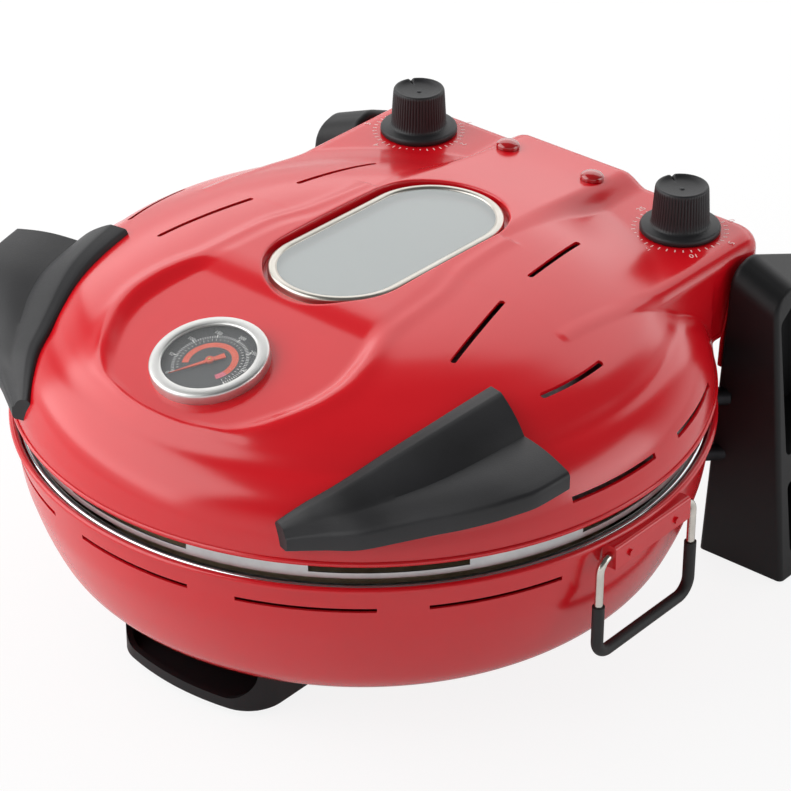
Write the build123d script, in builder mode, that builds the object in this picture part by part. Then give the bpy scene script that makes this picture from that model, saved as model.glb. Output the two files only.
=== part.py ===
from build123d import *
import math
import os

# Countertop pizza oven: a red steel base bowl with a baking stone, a domed lid that swings up on
# two pins between the rear stands, timer and thermostat knobs, a lid thermometer, a window and
# two bail handles. Millimetres, +Z up, z = 0 on the floor, -Y is the front, +X is the right side.
# Heights are measured from the floor; "forward" places are measured from the round axis.

# ---------------------------------------------------------------- driving dimensions
rim_z = 127.0  # lower edge of the lid above the floor
base_radius = 187.0  # outside of the rolled rim of the base bowl
rim_margin = 2.0  # lid skirt inside the rolled rim
lid_radius = base_radius - rim_margin  # outside of the lid skirt
steel = 1.5  # wall of the pressed steel shells
plastic = 3.5  # wall of the plastic mouldings
seat_gap = 0.3  # clearance between pieces that rest or pass near each other
running = 0.05  # radial clearance of turning fits

# Base bowl
bowl_drop = 12.0  # rolled rim below the lid edge
bowl_depth = 85.0  # rolled rim to the underside
bowl_floor_radius = base_radius - 55.0
roll_radius = 2.0
vent_count = 12
vent_angle = 22.0  # degrees covered by one base vent
vent_drop = 13.0  # base vents below the rolled rim
vent_height = 3.0

# Chromed baking pan
bead_margin = 6.9  # bead centre inside the rolled rim
bead_drop = 15.4  # bead centre below the lid edge
bead_size = 2.5  # radius of the bead
pan_taper = 9.6
pan_depth = 50.0  # bead centre to the pan floor
pan_wall = 0.8
pan_corner = 16.0
bead_radius = base_radius - bead_margin
pan_radius = bead_radius - bead_size
pan_floor_radius = pan_radius - pan_taper
shield_radius = bowl_floor_radius + 8.0
shield_lift = 11.0  # heat shield above the bowl floor
standoff_circle = 105.0

# Stone and heaters
stone_margin = 11.0  # stone inside the pan floor
stone_radius = pan_floor_radius - stone_margin
stone_thickness = 13.0
stone_top_drop = 25.0  # stone face below the lid edge
heater_radius = 3.3
lower_heater_ring = 115.0
lower_heater_drop = 53.0
upper_heater_ring = 110.0
upper_heater_lift = 12.0
heater_leg_x = 20.0
heater_bend = 12.0

# Rear stands
box_half_width = 127.5  # rear box of the lid, between the stands
stand_box_gap = 3.8  # between the box and the top of a stand
stand_lean = 4.7  # inner face leans out from the floor to the top
stand_inner_top = box_half_width + stand_box_gap
stand_inner_foot = stand_inner_top - stand_lean
stand_outer_foot = stand_inner_foot + 54.4
stand_outer_top = stand_inner_top + 28.2
stand_tuck = 1.5605  # front corner of a stand's foot inside the rolled rim, which is higher up
stand_front_foot = math.sqrt((base_radius - stand_tuck) ** 2 - stand_inner_foot**2)
stand_front_top = stand_front_foot + 7.6
stand_back_foot = stand_front_foot + 86.5
stand_back_top = stand_back_foot - 6.0
stand_height = 180.0
stand_front_drop = 5.0  # front of the top below its highest line
stand_back_drop = 23.0
stand_outer_drop = 11.0
stand_peak = 16.0  # highest line behind the front of the top
stand_round = 13.0
stand_corner = 3.0
pad_height = 1.5
pad_radius = 8.0
stand_pad_inset = 12.0  # pad centre inside the foot of a stand
stand_pad_x = (stand_inner_foot + stand_pad_inset, stand_outer_foot - stand_pad_inset)
stand_pad_y = (stand_front_foot + stand_pad_inset, stand_back_foot - stand_pad_inset)
front_pad_radius = 6.5
foot_screw_x = 28.0
foot_screw_y = 100.0
foot_screw_radius = 2.0
spacer_end = base_radius + 10.0  # from the round axis
bolt_head_height = 3.0
bolt_end = spacer_end + 4.0
pin_start = box_half_width - 8.5
grip_rise = 30.0
pivot_bend = 7.0

# Hinge
hinge_y = stand_front_foot + 22.5  # behind the round axis
hinge_lift = 24.0  # above the lid edge
pin_radius = 4.0
pin_head_radius = 6.5
bush_radius = 7.0
bush_flange_radius = 8.2
cheek_thickness = 1.2

# Lid
plateau_lift = 72.5  # top of the dome above the lid edge
shoulder_lift = 54.5  # flat shoulders that carry the knobs
box_rear = lid_radius - 0.5
box_length = 89.5
box_front = box_rear - box_length
box_corner = 18.0
box_round = 9.0
box_under = 6.0  # underside of the rear box above the lid edge
spine_half_width = 42.0
spine_front_lift = 69.3
spine_rear_lift = 60.5
curl_radius = 1.5  # rolled lower edge of the lid
lid_vent_width = 3.2
skirt_vent_height = 3.0

# Scooped facet with the thermometer
scoop_half_width = 66.0
scoop_round_start = 22.0  # round front end begins this far behind the thermometer
scoop_back = 60.0  # rear end of the facet behind the thermometer
facet_y = -115.0
facet_lift = 55.0
facet_tilt = 12.7

# Reflector under the lid
reflector_radius = lid_radius - 4.5
reflector_wall = 0.8
reflector_hang = 9.5  # skirt below the lid edge
reflector_crown = 27.0
window_count = 8
window_angle = 25.0

# Window
glass_y = 19.5
glass_lift = 70.6
glass_tilt = 0.92
trim_half_width = 37.7
trim_length = 148.8
trim_width = 5.6
trim_height = 4.8
recess_gap = 1.8  # between the trim and the wall of its recess
glass_thickness = 3.0
glass_ledge = 3.0
seal_thickness = 0.7

# Thermometer
gauge_radius = 30.5
gauge_height = 6.0
gauge_rim = 6.3
gauge_depth = 4.2
lens_thickness = 1.2
stem_radius = 4.0
stem_length = 37.0
spindle_radius = 0.8
needle_length = 21.5
needle_start = 57.0  # rest position, turned from the left
needle_tail = 8.0

# Lamps
lamp_x = 29.3
lamp_y = box_rear - 28.7
lamp_radius = 6.6
lamp_height = 5.0

# Knobs
knob_x = 91.2
knob_y = box_rear - 31.9
knob_skirt_radius = 21.7
knob_skirt_height = 4.0
knob_radius = 15.6
knob_top_radius = 14.2
knob_height = 26.6
shaft_radius = 3.0
switch_side = 38.0
switch_height = 22.0

# Bail handles
bail_x = base_radius
bail_drop = 20.0  # pivot below the lid edge
bail_half_length = 38.5
bail_reach = 56.0
wire_radius = 2.2
grip_radius = 3.2
bracket_x = base_radius + 4.0
bracket_half_length = 31.0
bracket_depth = 12.5
rivet_reach = 19.0
rivet_radius = 1.8
bail_bend = 9.0

# Front foot
foot_half_width = 51.0
foot_front_radius = bowl_floor_radius + 17.0
front_pad_x = foot_half_width - 13.0
front_pad_y = foot_front_radius - 20.0
foot_back = 74.0  # ahead of the round axis
foot_pad_height = 4.5
foot_sill = 10.5
foot_corner = 22.0
foot_mouth_corner = 16.0
foot_mouth_wall = 4.0
foot_driver_hole = 6.0

# Small fixings
clamp_screw_radius = 0.9
clamp_thickness = 1.2
lamp_holder_radius = 3.8
switch_collar_radius = 4.8
stud_radius = 2.0
post_reach = 95.5
wing_screw_radius = 2.0
wing_screw_right = ((lid_radius - 50.0, -76.0), (lid_radius - 65.5, -107.0))
gland_drop = 55.0  # cord gland below the lid edge
gland_radius = 6.0

# ---------------------------------------------------------------- shared frames
axis_y = (base_radius - stand_back_foot) / 2
round_axis = Axis((0, axis_y, 0), (0, 0, 1))
bowl_top = rim_z - bowl_drop
bowl_floor = bowl_top - bowl_depth
bead_z = rim_z - bead_drop
pan_floor = bead_z - pan_depth
stone_top = rim_z - stone_top_drop
hinge_z = rim_z + hinge_lift
shoulder_z = rim_z + shoulder_lift
radial = Plane(origin=(0, axis_y, 0), x_dir=(1, 0, 0), z_dir=(0, -1, 0))
sides = (("left", -1), ("right", 1))
wing_screw_places = [(sign * x, y) for _, sign in sides for x, y in wing_screw_right]
clamp_edge = trim_half_width - 1.1
clamp_cap = trim_length / 2 - 1.1
clamp_screw_places = [(sign * clamp_edge, y) for _, sign in sides for y in (-25, 25)] + [(0, clamp_cap), (0, -clamp_cap)]
foot_screw_places = [(sign * foot_screw_x, -foot_screw_y) for _, sign in sides]

os.makedirs("parts", exist_ok=True)


def level(height):
    """Horizontal plane at a height above the floor, centred on the round axis."""
    return Plane((0, axis_y, height))


def across(x):
    """Upright plane at a distance to the right, local axes Y and Z, seen from the right."""
    return Plane(origin=(x, axis_y, 0), x_dir=(0, 1, 0), z_dir=(1, 0, 0))


def tilted(y, height, degrees):
    """Plane on the middle line whose normal leans back by an angle, or forward if negative."""
    lean = math.radians(degrees)
    return Plane(origin=(0, axis_y + y, height), x_dir=(1, 0, 0), z_dir=(0, math.sin(lean), math.cos(lean)))


def turned_to(*angles):
    """Places about the round axis, one for each angle in degrees from +X."""
    return [Location((0, axis_y, 0), (0, 0, angle)) for angle in angles]


def evenly(count, first):
    """Angles of a full circle of places."""
    return [first + index * 360 / count for index in range(count)]


def save(piece, name):
    """Labels a finished piece and writes its STEP file."""
    piece.part.label = name
    export_step(piece.part, f"parts/{name}.step")


def section(*points):
    """Closed straight-sided face in the sketch that is open."""
    Polygon(*points, align=None)


def annular_cutter(inner, outer, low, high, degrees):
    """Ring sector about the round axis, centred on +X."""
    with BuildPart() as cutter:
        with BuildSketch(Plane.XZ):
            section((inner, low), (outer, low), (outer, high), (inner, high))
        revolve(axis=Axis.Z, revolution_arc=degrees)
    return Rot(0, 0, -degrees / 2) * cutter.part


# ---------------------------------------------------------------- base bowl
def bowl_form(inset):
    """Body of the bowl, drawn in by an inset for the inside."""
    floor_z = bowl_floor + inset
    with BuildPart() as form:
        with BuildSketch(radial):
            with BuildLine():
                bottom = Line((0, floor_z), (bowl_floor_radius, floor_z))
                wall = Spline(
                    bottom @ 1,
                    (base_radius - 21 - inset, bowl_top - 70),
                    (base_radius - 9.5 - inset, bowl_top - 43),
                    (base_radius - 2 - inset, bowl_top - 13),
                    (base_radius - roll_radius - inset, bowl_top + inset),
                    tangents=[(1, 0), (0, 1)],
                )
                top = Line(wall @ 1, (0, bowl_top + inset))
                Line(top @ 1, bottom @ 0)
            make_face()
        revolve(axis=round_axis)
    return form.part


bowl_outside = bowl_form(0)
bowl_inside = bowl_form(steel)
stand_bolt_angle = math.degrees(math.atan2(stand_front_foot + 4, stand_inner_foot + 6))
stand_bolt_heights = (rim_z - 27, rim_z - 62)
bolt_radius = 2.5
spacer_radius = 5.0


def stand_bolt_places():
    """Planes on the round axis that look along each bolt between bowl and stands."""
    for height in stand_bolt_heights:
        for angle in (stand_bolt_angle, 180 - stand_bolt_angle):
            turn = math.radians(angle)
            yield Plane(
                origin=(0, axis_y, height),
                x_dir=(-math.sin(turn), math.cos(turn), 0),
                z_dir=(math.cos(turn), math.sin(turn), 0),
            )


def bowl_reach(place):
    """Distance from the round axis to the inside of the bowl along a plane's normal."""
    hits = bowl_inside.shell().find_intersection_points(Axis(place.origin, place.z_dir))
    return max((point - place.origin).dot(place.z_dir) for point, _ in hits)


with BuildPart() as base_shell:
    add(bowl_outside)
    add(bowl_inside, mode=Mode.SUBTRACT)
    with BuildSketch(radial):
        with Locations((base_radius - roll_radius, bowl_top - roll_radius)):
            Circle(roll_radius)
    revolve(axis=round_axis)
    vent_low = bowl_top - vent_drop - vent_height / 2
    vent = annular_cutter(base_radius - 20, base_radius + 5, vent_low, vent_low + vent_height, vent_angle)
    with Locations(*turned_to(*evenly(vent_count, -90))):
        add(vent, mode=Mode.SUBTRACT)
    for place in stand_bolt_places():
        with BuildSketch(place.offset(base_radius - 40)):
            Circle(bolt_radius)
        extrude(amount=60, mode=Mode.SUBTRACT)
    with BuildSketch(level(bowl_floor)):
        with PolarLocations(standoff_circle, 4, 45):
            Circle(bolt_radius)
    extrude(amount=steel, mode=Mode.SUBTRACT)
    with BuildSketch(level(bowl_floor)):
        with Locations(*foot_screw_places):
            Circle(foot_screw_radius)
    extrude(amount=steel, mode=Mode.SUBTRACT)
    with BuildSketch(Plane(origin=(0, axis_y, rim_z - gland_drop), x_dir=(-1, 0, 0), z_dir=(0, 1, 0))):
        Circle(gland_radius)
    extrude(amount=base_radius, mode=Mode.SUBTRACT)
save(base_shell, "base_shell")


# ---------------------------------------------------------------- baking pan and what it holds
def pan_form(inset):
    """Body of the pan below its bead, drawn in by an inset for the inside."""
    floor_z = pan_floor + inset
    with BuildPart() as form:
        with BuildSketch(radial) as profile:
            section(
                (0, floor_z),
                (pan_floor_radius - inset, floor_z),
                (pan_radius - inset, bead_z + inset),
                (0, bead_z + inset),
            )
            fillet(profile.vertices().sort_by(Axis.X)[-2], pan_corner - inset)
        revolve(axis=round_axis)
    return form.part


def pan_inside(height):
    """Inside radius of the pan's sloping wall at a height."""
    slope = (pan_radius - pan_floor_radius) / pan_depth
    return pan_floor_radius + slope * (height - pan_floor - pan_wall) - pan_wall


stone_under = stone_top - stone_thickness
lower_heater_z = rim_z - lower_heater_drop
flange_radius = base_radius - 2 * roll_radius - seat_gap


def heater_loop(ring, height, legs_end):
    """Open ring of heating tube whose two legs run straight back."""
    start = math.degrees(math.acos(heater_leg_x / ring))
    with BuildPart() as loop:
        with BuildLine(level(height)) as path:
            turn = CenterArc((0, 0), ring, start, -(180 + 2 * start))
            Line(turn @ 0, (heater_leg_x, legs_end))
            Line(turn @ 1, (-heater_leg_x, legs_end))
            fillet([vertex for vertex in path.vertices() if abs(vertex.Y - axis_y) < ring], heater_bend)
        mouth = Plane(origin=(heater_leg_x, axis_y + legs_end, height), x_dir=(1, 0, 0), z_dir=(0, -1, 0))
        with BuildSketch(mouth):
            Circle(heater_radius)
        sweep(path=path.wires()[0])
    return loop.part


lower_legs_end = pan_inside(lower_heater_z) + 3
lower_loop = heater_loop(lower_heater_ring, lower_heater_z, lower_legs_end)

with BuildPart() as base_pan:
    add(pan_form(0))
    add(pan_form(pan_wall), mode=Mode.SUBTRACT)
    with BuildSketch(radial):
        with Locations((bead_radius, bead_z)):
            Circle(bead_size)
        section(
            (pan_radius - pan_wall, bead_z - bead_size - 1.6),
            (flange_radius, bead_z - bead_size - 1.6),
            (flange_radius, bead_z - bead_size - 0.8),
            (pan_radius - pan_wall, bead_z - bead_size - 0.8),
        )
        section(
            (pan_radius - pan_wall, bead_z - bead_size - 1.6),
            (pan_radius, bead_z - bead_size - 1.6),
            (pan_radius + 1.2, bead_z),
            (pan_radius - pan_wall, bead_z),
        )
    revolve(axis=round_axis)
    notch = annular_cutter(pan_radius + 1, base_radius, bead_z - 12, bead_z - bead_size - 0.2, 10)
    with Locations(*turned_to(*evenly(8, -67.5))):
        add(notch, mode=Mode.SUBTRACT)
    with BuildSketch(level(pan_floor)):
        with PolarLocations(standoff_circle, 4, 45):
            Circle(bolt_radius)
    extrude(amount=pan_wall, mode=Mode.SUBTRACT)
    leg_exit = Plane(origin=(0, axis_y + pan_radius - 22, lower_heater_z), x_dir=(1, 0, 0), z_dir=(0, 1, 0))
    with BuildSketch(leg_exit):
        with Locations((-heater_leg_x, 0), (heater_leg_x, 0)):
            Circle(heater_radius + running)
    extrude(amount=30, mode=Mode.SUBTRACT)
save(base_pan, "base_pan")

with BuildPart() as heat_shield:
    with BuildSketch(level(bowl_floor + shield_lift)):
        Circle(shield_radius)
        with PolarLocations(standoff_circle, 4, 45):
            Circle(4, mode=Mode.SUBTRACT)
    extrude(amount=pan_wall)
    with BuildSketch(level(bowl_floor + shield_lift)):
        Circle(shield_radius)
        Circle(shield_radius - pan_wall, mode=Mode.SUBTRACT)
    extrude(amount=6)
save(heat_shield, "heat_shield")

with BuildPart() as pan_standoffs:
    with BuildSketch(level(bowl_floor + steel)):
        with PolarLocations(standoff_circle, 4, 45):
            Circle(6)
    extrude(amount=shield_lift - steel)
    with BuildSketch(level(bowl_floor + shield_lift)):
        with PolarLocations(standoff_circle, 4, 45):
            Circle(4)
    extrude(amount=pan_floor - bowl_floor - shield_lift)
    with BuildSketch(level(bowl_floor + steel)):
        with PolarLocations(standoff_circle, 4, 45):
            Circle(bolt_radius - 0.4)
    extrude(amount=pan_floor - bowl_floor, mode=Mode.SUBTRACT)
save(pan_standoffs, "pan_standoffs")

with BuildPart() as standoff_screws:
    with BuildSketch(level(bowl_floor)):
        with PolarLocations(standoff_circle, 4, 45):
            Circle(bolt_radius - 0.4)
    extrude(amount=12)
    with BuildSketch(level(bowl_floor)):
        with PolarLocations(standoff_circle, 4, 45):
            Circle(4.5)
    extrude(amount=-2)
    with BuildSketch(level(pan_floor + pan_wall)):
        with PolarLocations(standoff_circle, 4, 45):
            Circle(4)
    extrude(amount=1.6)
    with BuildSketch(level(pan_floor + pan_wall)):
        with PolarLocations(standoff_circle, 4, 45):
            Circle(bolt_radius - 0.4)
    extrude(amount=-10)
save(standoff_screws, "standoff_screws")

with BuildPart() as lower_heater:
    add(lower_loop)
save(lower_heater, "lower_heater")

lower_clip_angles = (-90, -20, 200, 65, 115)
upper_clip_angles = (-60, -120, 0, 180, 65, 115)
clip_side = 13.0


def heater_clips(ring, height, seat, angles):
    """Saddles that carry a heating tube on a flat seat."""
    with BuildPart() as clips:
        with BuildSketch(level(seat)):
            with Locations(*[(Vector(ring, 0).rotate(Axis.Z, angle)) for angle in angles]):
                Rectangle(clip_side, clip_side)
        extrude(amount=height - seat)
        with BuildSketch(Plane(origin=(0, axis_y, height), x_dir=(1, 0, 0), z_dir=(0, -1, 0))):
            with Locations((ring, 0)):
                Circle(heater_radius + running)
        revolve(axis=round_axis, mode=Mode.SUBTRACT)
    return clips.part


with BuildPart() as lower_heater_clips:
    add(heater_clips(lower_heater_ring, lower_heater_z, pan_floor + pan_wall, lower_clip_angles))
save(lower_heater_clips, "lower_heater_clips")

support_angle = 10.0
with BuildPart() as stone_ledge:
    ledge_inner = stone_radius - 8
    leg_low = stone_under - 10
    leg_high = stone_under + 6
    with BuildSketch(radial):
        section(
            (ledge_inner, stone_under - 2),
            (pan_inside(stone_under - 2) - 2, stone_under - 2),
            (pan_inside(leg_low) - 2, leg_low),
            (pan_inside(leg_low) - seat_gap, leg_low),
            (pan_inside(leg_high) - seat_gap, leg_high),
            (pan_inside(leg_high) - 2, leg_high),
            (pan_inside(stone_under) - 2, stone_under),
            (ledge_inner, stone_under),
        )
    revolve(axis=round_axis, revolution_arc=support_angle)
centred_ledge = Location((0, -axis_y, 0)) * stone_ledge.part
with BuildPart() as stone_supports:
    with Locations(*turned_to(*[angle + support_angle / 2 for angle in (40, 140, 220, 320)])):
        add(centred_ledge)
save(stone_supports, "stone_supports")

with BuildPart() as pizza_stone:
    with BuildSketch(level(stone_under)):
        Circle(stone_radius)
    extrude(amount=stone_thickness)
    chamfer(pizza_stone.edges().filter_by(GeomType.CIRCLE), 2)
save(pizza_stone, "pizza_stone")

# ---------------------------------------------------------------- front foot
with BuildPart() as front_foot:
    with BuildSketch(level(foot_pad_height)) as foot_plan:
        Circle(foot_front_radius)
        with Locations((0, -(foot_front_radius + foot_back) / 2)):
            Rectangle(2 * foot_half_width, foot_front_radius - foot_back + 20, mode=Mode.INTERSECT)
        with Locations((0, -foot_back + 50)):
            Rectangle(4 * foot_half_width, 100, mode=Mode.SUBTRACT)
        fillet(foot_plan.vertices().sort_by(Axis.Y)[:2], foot_corner)
    extrude(amount=bowl_floor - foot_pad_height + 16)
    with BuildSketch(level(foot_pad_height + plastic)):
        offset(foot_plan.sketch_local, amount=-plastic)
    extrude(amount=bowl_floor - foot_pad_height - 2 * plastic, mode=Mode.SUBTRACT)
    with BuildSketch(level(foot_pad_height)):
        with Locations(*foot_screw_places):
            Circle(foot_driver_hole)
    extrude(amount=plastic, mode=Mode.SUBTRACT)
    with BuildSketch(Plane(origin=(0, axis_y - foot_screw_y - 12, 0), x_dir=(1, 0, 0), z_dir=(0, -1, 0))):
        with Locations((0, foot_sill + 30)):
            RectangleRounded(2 * (foot_half_width - foot_mouth_wall), 60, foot_mouth_corner)
    extrude(amount=80, mode=Mode.SUBTRACT)
    add(bowl_outside, mode=Mode.SUBTRACT)
    with BuildSketch(level(bowl_floor)):
        with Locations(*foot_screw_places):
            Circle(foot_screw_radius)
    extrude(amount=-plastic, mode=Mode.SUBTRACT)
save(front_foot, "front_foot")


# ---------------------------------------------------------------- rear stands and hinge
pocket_floor = stand_inner_top + plastic + 1
lower_pocket = (15.0, 58.0)
upper_pocket = (74.0, 160.0)
pocket_round = 4.0
pin_boss_radius = 9.0
pin_boss_length = 10.0


def stand_form(mirror_sign):
    """Moulded rear stand, hollow towards its outer side."""
    with BuildPart() as stand:
        with BuildSketch(radial):
            section(
                (stand_inner_foot, pad_height),
                (stand_outer_foot, pad_height),
                (stand_outer_top, stand_height),
                (stand_inner_top, stand_height),
            )
        extrude(amount=-2 * stand_back_foot)
        with BuildSketch(across(stand_inner_top)) as side_view:
            section(
                (stand_front_foot, -stand_outer_drop),
                (stand_back_foot, -stand_outer_drop),
                (stand_back_top, stand_height - stand_back_drop),
                (stand_front_top + stand_peak, stand_height),
                (stand_front_top, stand_height - stand_front_drop),
            )
            fillet(side_view.vertices().filter_by(lambda corner: corner.Y > rim_z), stand_round)
        slope = stand_outer_drop / (stand_outer_top - stand_inner_top)
        extrude(amount=stand_outer_foot, dir=(1, 0, -slope), both=True, mode=Mode.INTERSECT)
        rims = stand.edges().filter_by(lambda edge: abs(edge.tangent_at(0.5).X) < 0.5)
        fillet(rims.filter_by(lambda edge: edge.center().Z > 2 * pad_height), stand_corner)
        pocket_front = stand_front_top + plastic
        pocket_back = stand_back_top - plastic
        with BuildSketch(across(pocket_floor)) as pockets:
            section(
                (pocket_front, lower_pocket[0]),
                (pocket_back, lower_pocket[0]),
                (pocket_back, lower_pocket[1]),
                (pocket_front, lower_pocket[1]),
            )
            section(
                (pocket_front, upper_pocket[0]),
                (pocket_back, upper_pocket[0]),
                (pocket_back, upper_pocket[1] - stand_back_drop - plastic),
                (hinge_y + pin_boss_radius + 5, upper_pocket[1]),
                (pocket_front + stand_round, upper_pocket[1]),
                (pocket_front, upper_pocket[1] - 8),
            )
            fillet(pockets.vertices(), pocket_round)
        extrude(amount=stand_outer_foot, mode=Mode.SUBTRACT)
        with BuildSketch(across(pocket_floor)):
            with Locations((hinge_y, hinge_z)):
                Circle(pin_boss_radius)
        extrude(amount=pin_boss_length)
        with BuildSketch(across(stand_inner_foot)):
            with Locations((hinge_y, hinge_z)):
                Circle(pin_radius)
        extrude(amount=40, mode=Mode.SUBTRACT)
        for place in stand_bolt_places():
            with BuildSketch(place.offset(base_radius)):
                Circle(bolt_radius - 0.4)
            extrude(amount=bolt_end - base_radius, mode=Mode.SUBTRACT)
        if mirror_sign < 0:
            mirror(about=Plane.YZ, mode=Mode.REPLACE)
    return stand


stands = {}
for side, sign in sides:
    stands[side] = stand_form(sign)
    save(stands[side], f"rear_stand_{side}")


with BuildPart() as stand_pads:
    pad_places = [(sign * pad_x, pad_y) for _, sign in sides for pad_x in stand_pad_x for pad_y in stand_pad_y]
    with BuildSketch(level(0)):
        with Locations(*pad_places):
            Circle(pad_radius)
    extrude(amount=pad_height)
    chamfer(stand_pads.edges().group_by(Axis.Z)[0], 0.6)
save(stand_pads, "stand_pads")

with BuildPart() as front_pads:
    with BuildSketch(level(0)):
        with Locations(*[(sign * front_pad_x, -front_pad_y) for _, sign in sides]):
            Circle(front_pad_radius)
    extrude(amount=foot_pad_height)
    chamfer(front_pads.edges().group_by(Axis.Z)[0], 0.8)
save(front_pads, "front_pads")

with BuildPart() as foot_screws:
    with BuildSketch(level(bowl_floor - plastic)):
        with Locations(*foot_screw_places):
            Circle(2.5 * foot_screw_radius)
    extrude(amount=-2)
    with BuildSketch(level(bowl_floor - plastic)):
        with Locations(*foot_screw_places):
            Circle(foot_screw_radius)
    extrude(amount=plastic + steel + 4)
save(foot_screws, "foot_screws")

with BuildPart() as stand_spacers:
    for place in stand_bolt_places():
        with BuildSketch(place.offset(bowl_reach(place))):
            Circle(spacer_radius)
            Circle(bolt_radius, mode=Mode.SUBTRACT)
        extrude(amount=spacer_end - bowl_reach(place))
    add(bowl_outside, mode=Mode.SUBTRACT)
    for side, _ in sides:
        add(stands[side].part, mode=Mode.SUBTRACT)
save(stand_spacers, "stand_spacers")

with BuildPart() as stand_bolts:
    for place in stand_bolt_places():
        with BuildSketch(place.offset(bowl_reach(place) - bolt_head_height)):
            Circle(bolt_radius + 2)
        extrude(amount=2 * bolt_head_height)
    add(bowl_inside, mode=Mode.INTERSECT)
    for place in stand_bolt_places():
        head_start = bowl_reach(place) - bolt_head_height
        with BuildSketch(place.offset(head_start)):
            Circle(bolt_radius - 0.4)
        extrude(amount=bolt_end - head_start)
save(stand_bolts, "stand_bolts")

with BuildPart() as hinge_pins:
    for _, sign in sides:
        with BuildSketch(across(sign * pin_start)):
            with Locations((hinge_y, hinge_z)):
                Circle(pin_radius)
        extrude(amount=sign * (pocket_floor + pin_boss_length - pin_start))
        with BuildSketch(across(sign * (pocket_floor + pin_boss_length))):
            with Locations((hinge_y, hinge_z)):
                Circle(pin_head_radius)
        extrude(amount=sign * 3)
save(hinge_pins, "hinge_pins")

with BuildPart() as hinge_bushes:
    for _, sign in sides:
        with BuildSketch(across(sign * (box_half_width - steel - 4))):
            with Locations((hinge_y, hinge_z)):
                Circle(bush_flange_radius)
        extrude(amount=sign * 4)
        with BuildSketch(across(sign * (box_half_width - steel))):
            with Locations((hinge_y, hinge_z)):
                Circle(bush_radius)
        extrude(amount=sign * (steel + 0.4))
        with BuildSketch(across(sign * (box_half_width - steel - 5))):
            with Locations((hinge_y, hinge_z)):
                Circle(pin_radius + running)
        extrude(amount=sign * 8, mode=Mode.SUBTRACT)
save(hinge_bushes, "hinge_bushes")

cheek_x = stand_inner_foot + (stand_inner_top - stand_inner_foot) * (rim_z - 14) / stand_height - seat_gap
for side, sign in sides:
    with BuildPart() as cheek:
        with BuildSketch(across(sign * cheek_x)) as cheek_face:
            section(
                (hinge_y - 17, rim_z - 12),
                (hinge_y + 4, rim_z - 12),
                (hinge_y + 13, hinge_z),
                (hinge_y + 6, hinge_z + 10),
                (hinge_y - 8, hinge_z + 8),
                (hinge_y - 16, rim_z + 4),
            )
            fillet(cheek_face.vertices(), 3)
            with Locations((hinge_y, hinge_z)):
                Circle(pin_radius, mode=Mode.SUBTRACT)
        extrude(amount=-sign * cheek_thickness)
    save(cheek, f"hinge_plate_{side}")

# ---------------------------------------------------------------- bail handles
bail_z = rim_z - bail_drop


def bail_bracket(sign):
    """Folded steel channel with two ears, fixed to the side of the bowl."""
    top = rim_z - 14
    with BuildPart() as bracket:
        with BuildSketch(level(top - bracket_depth)):
            with Locations((bracket_x - 8, 0)):
                Rectangle(16, 2 * bracket_half_length)
        extrude(amount=bracket_depth)
        fillet(bracket.edges().filter_by(Axis.Y).group_by(Axis.X)[-1].sort_by(Axis.Z)[-1], 2)
        with BuildSketch(level(top - bracket_depth)):
            with Locations((bracket_x - 9, 0)):
                Rectangle(18 - 2.4, 2 * bracket_half_length - 2.4)
        extrude(amount=bracket_depth - 1.2, mode=Mode.SUBTRACT)
        with BuildSketch(Plane(origin=(bail_x, axis_y - 50, bail_z), x_dir=(1, 0, 0), z_dir=(0, 1, 0))):
            Circle(wire_radius + running)
        extrude(amount=100, mode=Mode.SUBTRACT)
        add(bowl_roll.part, mode=Mode.SUBTRACT)
        add(bowl_outside, mode=Mode.SUBTRACT)
        if sign < 0:
            mirror(about=Plane.YZ, mode=Mode.REPLACE)
    return bracket


def bail_wire(radius, hollow, low_only):
    """Bent rod of the bail, or the sleeve drawn over its lower part."""
    end_y = bracket_half_length - 5
    low_z = bail_z - bail_reach
    plane = across(bail_x)
    with BuildPart() as rod:
        with BuildLine(plane) as path:
            if low_only:
                FilletPolyline(
                    (-bail_half_length, low_z + grip_rise),
                    (-bail_half_length, low_z),
                    (bail_half_length, low_z),
                    (bail_half_length, low_z + grip_rise),
                    radius=bail_bend,
                )
            else:
                FilletPolyline(
                    (-end_y, bail_z),
                    (-bail_half_length, bail_z),
                    (-bail_half_length, low_z),
                    (bail_half_length, low_z),
                    (bail_half_length, bail_z),
                    (end_y, bail_z),
                    radius=[pivot_bend, bail_bend, bail_bend, pivot_bend],
                )
        start = path.wires()[0]
        with BuildSketch(Plane(origin=start @ 0, z_dir=start % 0)):
            Circle(radius)
            if hollow:
                Circle(hollow, mode=Mode.SUBTRACT)
        sweep(path=start)
    return rod


with BuildPart() as bowl_roll:
    with BuildSketch(radial):
        with Locations((base_radius - roll_radius, bowl_top - roll_radius)):
            Circle(roll_radius)
    revolve(axis=round_axis)

for side, sign in sides:
    save(bail_bracket(sign), f"bail_bracket_{side}")
    with BuildPart() as wire:
        add(bail_wire(wire_radius, 0, False).part)
        if sign < 0:
            mirror(about=Plane.YZ, mode=Mode.REPLACE)
    save(wire, f"bail_{side}")
    with BuildPart() as grip:
        add(bail_wire(grip_radius, wire_radius, True).part)
        if sign < 0:
            mirror(about=Plane.YZ, mode=Mode.REPLACE)
    save(grip, f"bail_grip_{side}")

with BuildPart() as bracket_rivets:
    for _, sign in sides:
        for y in (-rivet_reach, rivet_reach):
            with BuildSketch(Plane(origin=(sign * bracket_x, axis_y + y, bail_z - 2), x_dir=(0, 1, 0), z_dir=(sign, 0, 0))):
                Circle(rivet_radius)
            extrude(amount=1.2)
save(bracket_rivets, "bracket_rivets")


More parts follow.
